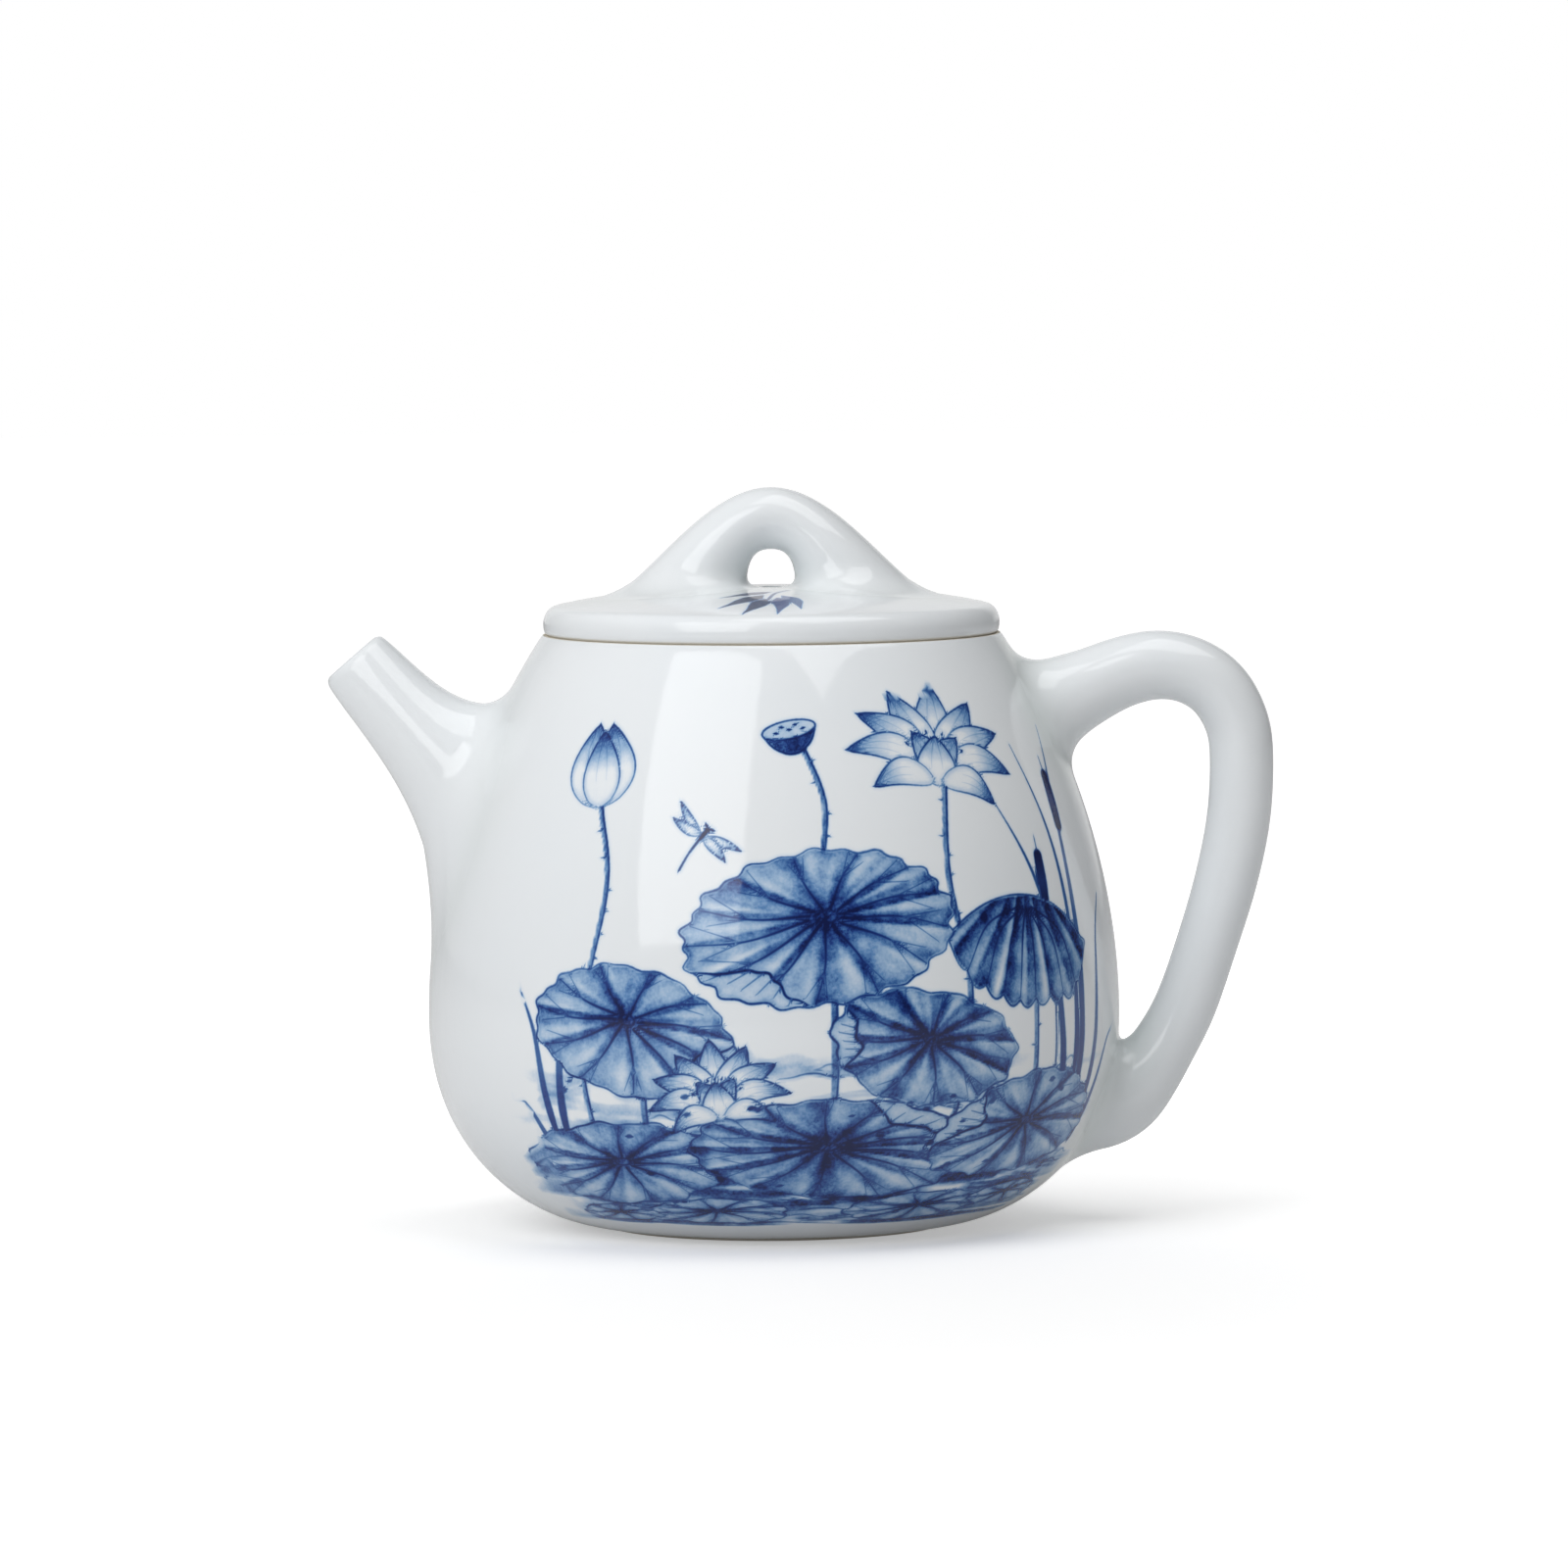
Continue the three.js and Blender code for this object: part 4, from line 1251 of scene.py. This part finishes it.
# %% Paint the tall leaves, the blossom, the bud, the seed head and the dragonfly
hanging_leaf((48, 44, -6), 13, 14, seed=5, dark=1.4)
open_leaf((8, 41, 7), (17.5, 9.6), (0.05, 0.15), veins=13, seed=11, dark=1.1, turned=(200, 262, 0.34))
blossom((33.5, 60, -10), 11.5)
bud((-33.5, 55.5, 9), 11)
seed_head((4.5, 62.5, 12), 3.4)
open_leaf((26, 26, -9), (13.0, 7.2), (0.0, 0.15), veins=11, seed=31, dark=1.2, turned=(150, 214, 0.34))
open_leaf((-24, 28, -12), (14.0, 8.0), (-0.05, 0.2), veins=11, seed=4, dark=1.0, turned=(300, 372, 0.36))
dragonfly((-13, 52, -38), 4.6)
show_progress("the tall plants")

# %% Paint the ripples over the washes
for angle, height, length in (
    (-38, 6.5, 9), (-30, 4.6, 13), (-22, 16.5, 8), (-12, 3.8, 15), (-10, 22, 7), (2, 3.4, 12), (6, 23, 8),
    (18, 3.9, 16), (27, 18.5, 9), (33, 4.2, 14), (40, 3.6, 12), (47, 7, 10), (58, 5, 11), (63, 9.5, 7),
    (-3, 9, 6), (24, 9.5, 7), (-16, 15.5, 6), (55, 22, 6), (10, 5.4, 9), (-24, 5.6, 8), (52, 3.4, 9),
):
    ripple((angle, height), length, tone=0.8)
    ripple((angle + 3, height + 1.1), length * 0.5, tone=0.6)
show_progress("the ripples")

# %% Paint the leaves and the small flower that float in front, and duckweed
open_leaf((-29, 11, 5), (14.5, 6.4), (0.05, 0.1), veins=11, seed=8, dark=1.1)
open_leaf((11, 13, -3), (18.0, 7.4), (-0.08, 0.12), veins=13, seed=15, dark=1.3, turned=(15, 80, 0.34))
open_leaf((48, 15, 7), (14.5, 7.0), (0.0, 0.12), veins=11, seed=21, dark=1.1, turned=(120, 188, 0.36))
blossom((-9, 19, 8), 8.6)
for angle, height, wide, tall, veins, seed in (
    (-12, 5.0, 9.0, 2.9, 9, 41), (31, 5.2, 10.0, 3.0, 9, 43),
    (-35, 4.4, 6.0, 1.9, 7, 45), (54, 6.0, 6.5, 2.2, 7, 47),
):
    for drop in (0.7, 1.1):
        shadow = ((-wide, 0), (0, -0.3), (wide, 0.1))
        sweep((angle, max(height - tall * drop, 3.4)), shadow, 0.7, 0.6)
    open_leaf((angle, height, 2), (wide, tall), (0.0, 0.1), veins, seed, dark=0.8)
for spot in rng.uniform((-42, 4), (66, 22), (36, 2)):
    weed = rng.uniform(-0.2, 0.2, 2)
    brush(spot, (weed, weed + (0.3, 0.05)), rng.uniform(0.18, 0.4), rng.uniform(0.5, 0.9))
show_progress("the front")


# %% Store the painting on the mesh
def keep(piece, name, values):
    """Keeps a number for each vertex as an attribute that materials can read."""
    layer = piece.data.attributes.new(name, "FLOAT", "POINT")
    layer.data.foreach_set("value", np.asarray(values, np.float32))


FIELDS = ("Side", "Near", "Half", "Tone", "Wash")


def keep_painting(piece):
    """Keeps the whole canvas on the piece that it lies on."""
    for name in FIELDS:
        keep(piece, name.lower(), canvas[name.lower()])


keep_painting(pot_body)
print("painting stored")

# %% [markdown]
# ## A few strokes on the lid
#
# The lid has a small answer to the pond: a spray of five leaves in front of the knob, each one press of a
# full brush. The lid's canvas is flat, so across and up on it are simply x and y.

# %% Paint the lid
x, y, _ = local_points(lid_plate).T
canvas = blank(x, y, np.ones(len(x)))
SPRAY = (0, BASE_HEIGHT)
for start, tip, half, tones in (
    ((0.0, -10.5), (-6.4, -15.5), 1.2, (0.9, 1.0)), ((-1.0, -14.0), (-6.6, -23.0), 1.35, (1.0, 0.9)),
    ((-0.8, -17.5), (-3.6, -26.6), 1.3, (0.9, 1.0)), ((0.8, -16.5), (0.8, -26.8), 1.2, (0.75, 0.8)),
    ((1.4, -14.5), (3.8, -24.0), 1.1, (0.6, 0.7)),
):
    middle = (np.array(start) + tip) / 2 + (0.5, 0.3)
    brush(SPRAY, (start, middle, tip), (0.1, half, half * 0.8, 0.4, 0.04), tones)
brush(SPRAY, ((2.2, -8.5), (0.6, -12.0), (-0.4, -18.0)), 0.2, 0.9)
keep_painting(lid_plate)
show_progress("the lid's leaves")

# %% [markdown]
# ## Where the glaze pools, with painted shade in the joints, and where it is wiped off
#
# Melted glaze runs into the joints and stands thicker there, and the same number also darkens the joints
# as painted shade. The ring where the lid sits is wiped bare, or lid and pot would fuse in the kiln. Both
# are kept as numbers on the mesh.

# %% Mark pools with painted shade, and bare rings
# How deep the glaze pools at each joint. The same depth also darkens the joint as painted shade.
SPOUT_POOL_AND_SHADE, HANDLE_POOL_AND_SHADE, BRIDGE_POOL_AND_SHADE = 0.12, 0.3, 0.16
POOL_AND_SHADE_REACH = 4.5
JOINT_SIDE = 20
WIPED_BELOW, WIPED_ABOVE = 0.06, 0.05


def pool_and_shade_at(points, ring, depth):
    """How deep the glaze pools, with its painted shade, at points beside a joint's landing ring."""
    best = np.full(len(points), 1e9)
    for spot in ring[::2]:
        best = np.minimum(best, ((points - spot) ** 2).sum(1))
    return depth * np.exp(-best / POOL_AND_SHADE_REACH**2)


wall_points, lid_points = local_points(pot_body), local_points(lid_plate)
keep(spout, "pool_and_shade", pool_and_shade_at(local_points(spout), spout_landing, SPOUT_POOL_AND_SHADE))
keep(handle, "pool_and_shade", pool_and_shade_at(local_points(handle), handle_landing, HANDLE_POOL_AND_SHADE))
keep(lid_bridge, "pool_and_shade", pool_and_shade_at(local_points(lid_bridge), bridge_landing, BRIDGE_POOL_AND_SHADE))
keep(lid_plate, "pool_and_shade", pool_and_shade_at(lid_points, bridge_landing, BRIDGE_POOL_AND_SHADE))
# On the wall, pooled glaze and painted shade lie only beside the spout and the handle.
pool_and_shade = np.zeros(len(wall_points))
for ring, depth, side in ((spout_landing, SPOUT_POOL_AND_SHADE, -1), (handle_landing, HANDLE_POOL_AND_SHADE, 1)):
    beside = side * wall_points[:, 0] > JOINT_SIDE
    pool_and_shade[beside] = pool_and_shade_at(wall_points[beside], ring, depth)
keep(pot_body, "pool_and_shade", pool_and_shade)
keep(pot_body, "bare", wall_points[:, 2] > RIM_HEIGHT - WIPED_BELOW)
keep(lid_plate, "bare", lid_points[:, 2] < RIM_HEIGHT + WIPED_ABOVE)
print("pools and bare rings marked")

# %% [markdown]
# ## Wiring shader nodes
#
# Every finish below is a net of shader nodes. A few helpers add one node each and give back its result, so
# a net reads like a sum. Their inputs take a number, a colour or another node's result.

# %% Helpers that wire any node
def feed(tree, socket, value):
    """Links a result into a socket, or sets the socket's own value."""
    if isinstance(value, bpy.types.NodeSocket):
        tree.links.new(value, socket)
    else:
        socket.default_value = value


def wired(tree, kind, values, output=0, **settings):
    """Adds a node, sets it, feeds its inputs, given by name or number, and gives back its output."""
    node = tree.nodes.new(kind)
    for name, value in settings.items():
        setattr(node, name, value)
    for socket, value in values.items():
        feed(tree, node.inputs[socket], value)
    return node.outputs[output]


# %% Helpers that add one node each
def sum_of(tree, operation, *values):
    """A Math node's result."""
    return wired(tree, "ShaderNodeMath", dict(enumerate(values)), operation=operation)


def fade(tree, value, start, end, low=0.0, high=1.0):
    """Runs smoothly from low at start to high at end."""
    values = {"Value": value, "From Min": start, "From Max": end, "To Min": low, "To Max": high}
    return wired(tree, "ShaderNodeMapRange", values, "Result", interpolation_type="SMOOTHSTEP")


def grain(tree, vector, scale, detail, roughness=0.5):
    """A noise about 0.5 over object coordinates. Its scale is in waves per metre."""
    values = {"Vector": vector, "Scale": scale, "Detail": detail, "Roughness": roughness}
    return wired(tree, "ShaderNodeTexNoise", values, "Fac")


def blended(tree, share, first, second):
    """A mix of two colours."""
    return wired(
        tree, "ShaderNodeMix", {"Factor": share, "A": first, "B": second}, "Result", data_type="RGBA"
    )


def relief(tree, shader, height, strength, distance):
    """Roughens a shader's surface with a Bump node."""
    values = {"Strength": strength, "Distance": distance, "Height": height}
    feed(tree, shader.inputs["Normal"], wired(tree, "ShaderNodeBump", values, "Normal"))


def object_place(tree):
    """Where on its object a point lies."""
    return wired(tree, "ShaderNodeTexCoord", {}, "Object")


def stored(tree, name):
    """A number kept on the mesh."""
    return wired(tree, "ShaderNodeAttribute", {}, "Fac", attribute_name=name)


# %% Helpers that make node groups and materials
def start_group(name, inputs, outputs):
    """A new shader node group with named sockets, and its input and output nodes."""
    group = bpy.data.node_groups.new(name, "ShaderNodeTree")
    for label, kind, value in inputs:
        socket = group.interface.new_socket(label, in_out="INPUT", socket_type=kind)
        if value is not None:
            socket.default_value = value
    for label, kind in outputs:
        group.interface.new_socket(label, in_out="OUTPUT", socket_type=kind)
    return group, group.nodes.new("NodeGroupInput").outputs, group.nodes.new("NodeGroupOutput").inputs


def add_group(tree, group):
    """Places a node group in a material."""
    node = tree.nodes.new("ShaderNodeGroup")
    node.node_tree = group
    return node


def start_material(name):
    """A new material, with its node tree and its Principled shader."""
    material = bpy.data.materials.new(name)
    material.use_nodes = True
    return material, material.node_tree, material.node_tree.nodes["Principled BSDF"]


def srgb(red, green, blue):
    """A screen colour from 0 to 255 as the shader's own linear numbers."""
    linear = lambda c: ((c / 255 + 0.055) / 1.055) ** 2.4 if c > 10 else c / 3294.6
    return (linear(red), linear(green), linear(blue), 1)


# %% [markdown]
# ## Underglaze blue
#
# Cobalt sinks into the clay and blurs a little under the glaze. Thin paint is a greyish sky blue and thick
# paint is nearly black, with darker specks where it heaped up. The group below turns the stored distances
# into lines, adds the washes, unsettles both with noise and reads the colour off a ramp.

# %% Build the cobalt group
COBALT = (
    (0.0, srgb(229, 233, 237)), (0.10, srgb(203, 215, 228)), (0.26, srgb(155, 183, 212)),
    (0.44, srgb(97, 138, 186)), (0.60, srgb(54, 95, 154)), (0.76, srgb(30, 60, 128)),
    (0.90, srgb(14, 38, 98)), (1.0, srgb(6, 20, 70)),
)
LINE_SPREAD, LINE_CORE = 0.18, 0.2
BLEED_REACH, BLEED = 0.8, 0.10
UNSETTLED = 0.10
SIDE_SLACK = 0.15
FINE_GRAIN, BROAD_GRAIN, HEAP_GRAIN = 2600, 420, 5200

cobalt, given, made = start_group(
    "cobalt_underglaze",
    (
        ("Place", "NodeSocketVector", None), ("Ground", "NodeSocketColor", (0.8, 0.83, 0.85, 1)),
        ("Side", "NodeSocketFloat", FAR), ("Near", "NodeSocketFloat", FAR),
        ("Half", "NodeSocketFloat", 0.1), ("Tone", "NodeSocketFloat", 0.0),
        ("Wash", "NodeSocketFloat", 0.0),
    ),
    (("Colour", "NodeSocketColor"), ("Paint", "NodeSocketFloat")),
)


def both(first, second):
    """Two coats of paint together, each from 0 to 1."""
    bare = [sum_of(cobalt, "SUBTRACT", 1.0, coat) for coat in (first, second)]
    return sum_of(cobalt, "SUBTRACT", 1.0, sum_of(cobalt, "MULTIPLY", *bare))


where, half, tone = given["Place"], given["Half"], given["Tone"]
fine, broad = grain(cobalt, where, FINE_GRAIN, 2), grain(cobalt, where, BROAD_GRAIN, 3)
side = sum_of(cobalt, "ABSOLUTE", given["Side"])
gap = sum_of(cobalt, "MAXIMUM", side, sum_of(cobalt, "SUBTRACT", given["Near"], SIDE_SLACK))
gap = sum_of(cobalt, "MULTIPLY_ADD", sum_of(cobalt, "SUBTRACT", fine, 0.5), UNSETTLED, gap)
outer, inner = sum_of(cobalt, "ADD", half, LINE_SPREAD), sum_of(cobalt, "SUBTRACT", half, LINE_CORE)
bleed = fade(cobalt, gap, sum_of(cobalt, "ADD", half, BLEED_REACH), half, 0.0, BLEED)
line = sum_of(cobalt, "MULTIPLY", fade(cobalt, gap, outer, inner), tone)
line = sum_of(cobalt, "MAXIMUM", line, sum_of(cobalt, "MULTIPLY", bleed, tone))
wash = sum_of(cobalt, "MULTIPLY", given["Wash"], fade(cobalt, broad, 0.28, 0.72, 0.72, 1.22))
wash = sum_of(cobalt, "MULTIPLY", wash, fade(cobalt, fine, 0.25, 0.75, 0.86, 1.12))
paint = both(line, wash)
heaps = fade(cobalt, grain(cobalt, where, HEAP_GRAIN, 1), 0.66, 0.74, 0.0, 0.22)
paint = sum_of(cobalt, "MULTIPLY_ADD", heaps, fade(cobalt, paint, 0.45, 0.9), paint)
ramp = cobalt.nodes.new("ShaderNodeValToRGB")
stops = ramp.color_ramp.elements
for position, _ in COBALT[1:-1]:
    stops.new(position)
for stop, (position, colour) in zip(stops, COBALT):
    stop.position, stop.color = position, colour
feed(cobalt, ramp.inputs["Fac"], paint)
shown = blended(cobalt, fade(cobalt, paint, 0.0, 0.12), given["Ground"], ramp.outputs["Color"])
feed(cobalt, made["Colour"], shown)
feed(cobalt, made["Paint"], paint)
print("cobalt group with", len(cobalt.nodes), "nodes")

# %% [markdown]
# ## Glazed porcelain
#
# The glaze is a clear, faintly blue glass whose tint drifts a little from place to place. It pools in the
# joints, where it turns a pale grey green, and this tint also stands for painted shade there. An almost
# flat ripple, like the skin of an orange, keeps it from looking like plastic. Where it is wiped off, the
# bare clay shows, stained brown at the edge.

# %% Build the glaze group
PORCELAIN = srgb(229, 233, 236)
# The grey green of thick glaze in the joints, which also darkens them as painted shade.
POOLED_AND_SHADED = srgb(198, 213, 207)
THIN = srgb(234, 236, 237)
DRIFT_GRAIN, CLOUD_GRAIN, SMALL_RIPPLE, WIDE_RIPPLE = 38, 130, 700, 160

clear_glaze, given, made = start_group(
    "clear_glaze",
    (("Place", "NodeSocketVector", None), ("Pool_and_shade", "NodeSocketFloat", 0.0)),
    (("Colour", "NodeSocketColor"), ("Relief", "NodeSocketFloat")),
)
where = given["Place"]
drift = fade(clear_glaze, grain(clear_glaze, where, DRIFT_GRAIN, 2), 0.3, 0.7)
ground = blended(clear_glaze, sum_of(clear_glaze, "MULTIPLY", drift, 0.35), PORCELAIN, THIN)
cloud = fade(clear_glaze, grain(clear_glaze, where, CLOUD_GRAIN, 3), 0.2, 0.7, 0.7, 1.1)
# How much pooled glaze and painted shade each point carries, broken up by a cloud.
depth = sum_of(clear_glaze, "MULTIPLY", given["Pool_and_shade"], cloud)
feed(clear_glaze, made["Colour"], blended(clear_glaze, depth, ground, POOLED_AND_SHADED))
small, wide = grain(clear_glaze, where, SMALL_RIPPLE, 1), grain(clear_glaze, where, WIDE_RIPPLE, 2)
feed(clear_glaze, made["Relief"], sum_of(clear_glaze, "MULTIPLY_ADD", small, 0.25, wide))
print("glaze group with", len(clear_glaze.nodes), "nodes")

# %% Glaze with and without the painting beneath
STAINED = srgb(206, 199, 184)
GLAZE_IOR = 1.46
GLOSS = 0.07
BARE_ROUGHNESS = 0.7


def glazed(name, painted):
    """Glazed porcelain, with or without the painting."""
    material, tree, shader = start_material(name)
    where = object_place(tree)
    glaze = add_group(tree, clear_glaze)
    feed(tree, glaze.inputs["Place"], where)
    # The stored pool number brings pooled glaze and painted shade into the joints.
    feed(tree, glaze.inputs["Pool_and_shade"], stored(tree, "pool_and_shade"))
    colour = glaze.outputs["Colour"]
    if painted:
        blue = add_group(tree, cobalt)
        feed(tree, blue.inputs["Place"], where)
        feed(tree, blue.inputs["Ground"], colour)
        for label in FIELDS:
            feed(tree, blue.inputs[label], stored(tree, label.lower()))
        colour = blue.outputs["Colour"]
    bare = stored(tree, "bare")
    roughness = sum_of(tree, "MULTIPLY_ADD", bare, BARE_ROUGHNESS - GLOSS, GLOSS)
    feed(tree, shader.inputs["Base Color"], blended(tree, bare, colour, STAINED))
    feed(tree, shader.inputs["Roughness"], roughness)
    shader.inputs["IOR"].default_value = GLAZE_IOR
    relief(tree, shader, glaze.outputs["Relief"], strength=0.18, distance=0.0002)
    return material


painted_glaze = glazed("painted glaze", painted=True)
plain_glaze = glazed("plain glaze", painted=False)
print("glazes", painted_glaze.name, "and", plain_glaze.name)

# %% [markdown]
# ## Bare biscuit
#
# Where the pot stands and where the lid drops in, the clay is wiped clean of glaze. Fired and bare it is
# dull and a little warm, with fine sandy pores.

# %% Build the biscuit
CLAY, TOASTED, PORES = srgb(224, 218, 207), srgb(211, 202, 186), srgb(172, 158, 138)
SAND_GRAIN, TOASTED_GRAIN = 1800, 90
BISCUIT_ROUGHNESS = 0.75

biscuit, tree, shader = start_material("bare biscuit")
shader.inputs["Roughness"].default_value = BISCUIT_ROUGHNESS
where = object_place(tree)
sand = grain(tree, where, SAND_GRAIN, 3, roughness=0.6)
clay = blended(tree, fade(tree, grain(tree, where, TOASTED_GRAIN, 3), 0.35, 0.75), CLAY, TOASTED)
clay = blended(tree, fade(tree, sand, 0.62, 0.8, 0.0, 0.5), clay, PORES)
feed(tree, shader.inputs["Base Color"], clay)
relief(tree, shader, sand, strength=0.5, distance=0.0001)

# %% Glaze the pieces
for piece, finish in (
    (pot_body, painted_glaze), (lid_plate, painted_glaze), (spout, plain_glaze), (handle, plain_glaze),
    (lid_bridge, plain_glaze), (strainer, plain_glaze), (foot_ring, biscuit), (lid_collar, biscuit),
):
    piece.data.materials.clear()
    piece.data.materials.append(finish)
print("all pieces have their finish")

# %% [markdown]
# ## Stage and light
#
# The photograph is a catalogue picture: a tall soft light on the left, white walls all round and a white
# floor. The floor glows for the camera, more so away from the pot, and a little for everything else, so it
# meets the white background and still keeps the pot's soft shadow.

# %% Lay the floor
FLOOR_WHITE = 0.74
FLOOR_GLOW_NEAR, FLOOR_GLOW_FAR = 0.31, 0.78
GLOW_MIDDLE, GLOW_GROWS = (-0.01, -0.1, 0), (0.03, 0.3)
FLOOR_LIFT = 0.07
FLOOR_REACH = 3.0

mesh = bmesh.new()
bmesh.ops.create_grid(mesh, x_segments=1, y_segments=1, size=FLOOR_REACH)
floor = add_object("floor", data_of("floor", mesh))
floor_material, tree, _ = start_material("floor")
tree.nodes.clear()
white = (FLOOR_WHITE, FLOOR_WHITE, FLOOR_WHITE, 1)
shaded = wired(tree, "ShaderNodeBsdfDiffuse", {"Color": white})
from_middle = {0: object_place(tree), 1: GLOW_MIDDLE}
away = wired(tree, "ShaderNodeVectorMath", from_middle, "Value", operation="DISTANCE")
seen = wired(tree, "ShaderNodeLightPath", {}, "Is Camera Ray")
growing = fade(tree, away, *GLOW_GROWS, FLOOR_GLOW_NEAR, FLOOR_GLOW_FAR)
level = sum_of(tree, "MAXIMUM", sum_of(tree, "MULTIPLY", seen, growing), FLOOR_LIFT)
glow = wired(tree, "ShaderNodeEmission", {"Strength": level})
total = wired(tree, "ShaderNodeAddShader", {0: shaded, 1: glow})
feed(tree, tree.nodes.new("ShaderNodeOutputMaterial").inputs["Surface"], total)
floor.data.materials.append(floor_material)
print("floor laid")

# %% Light the stage
LIGHT_AIM = place(0, 0, 50)


def add_softbox(name, azimuth, elevation, distance, size, radiance, lean=0.0):
    """A rectangular lamp aimed at the pot, with the given radiance on its face, where 1 is white."""
    lamp = add_object(name, bpy.data.lights.new(name, "AREA"))
    lamp.data.shape = "RECTANGLE"
    lamp.data.size, lamp.data.size_y = size
    lamp.data.energy = radiance * math.pi * size[0] * size[1]
    azimuth, elevation, lean = (math.radians(angle) for angle in (azimuth, elevation, lean))
    level = math.cos(elevation)
    way = Vector((math.sin(azimuth) * level, -math.cos(azimuth) * level, math.sin(elevation)))
    lamp.location = LIGHT_AIM + way * distance
    lamp.rotation_euler = ((-way).to_track_quat("-Z", "Y") @ Quaternion((0, 0, 1), lean)).to_euler()
    print(f"{name}: {lamp.data.energy:.2f} W")


add_softbox("key softbox", -32, 36, 0.9, (0.58, 0.82), 2.8, lean=8)
add_softbox("top softbox", 60, 76, 1.0, (0.75, 0.75), 2.3)

# %% Light the room: darker on the right and behind the camera, and white where the camera sees it
ROOM_RIGHT, ROOM_LEFT = 0.11, 0.5
CAMERA_SIDE = 0.72
BACKDROP = 0.75

world = bpy.data.worlds.new("studio")
bpy.context.scene.world = world
world.use_nodes = True
tree = world.node_tree
tree.nodes.clear()
split = tree.nodes.new("ShaderNodeSeparateXYZ")
feed(tree, split.inputs[0], wired(tree, "ShaderNodeTexCoord", {}, "Generated"))
sideways, depthways = split.outputs["X"], split.outputs["Y"]
room = fade(tree, sideways, 0.9, -0.8, ROOM_RIGHT, ROOM_LEFT)
room = sum_of(tree, "MULTIPLY", room, fade(tree, depthways, -0.9, -0.1, CAMERA_SIDE, 1.0))
lift = sum_of(tree, "SUBTRACT", BACKDROP, room)
room = sum_of(tree, "ADD", room, sum_of(tree, "MULTIPLY", fade(tree, depthways, 0.84, 0.97), lift))
seen = wired(tree, "ShaderNodeLightPath", {}, "Is Camera Ray")
strength = sum_of(tree, "MAXIMUM", room, seen)
background = wired(tree, "ShaderNodeBackground", {"Color": (1, 1, 1, 1), "Strength": strength})
feed(tree, tree.nodes.new("ShaderNodeOutputWorld").inputs["Surface"], background)
print("room lit")

# %% Show colours as they are written
bpy.context.scene.view_settings.view_transform = "Standard"
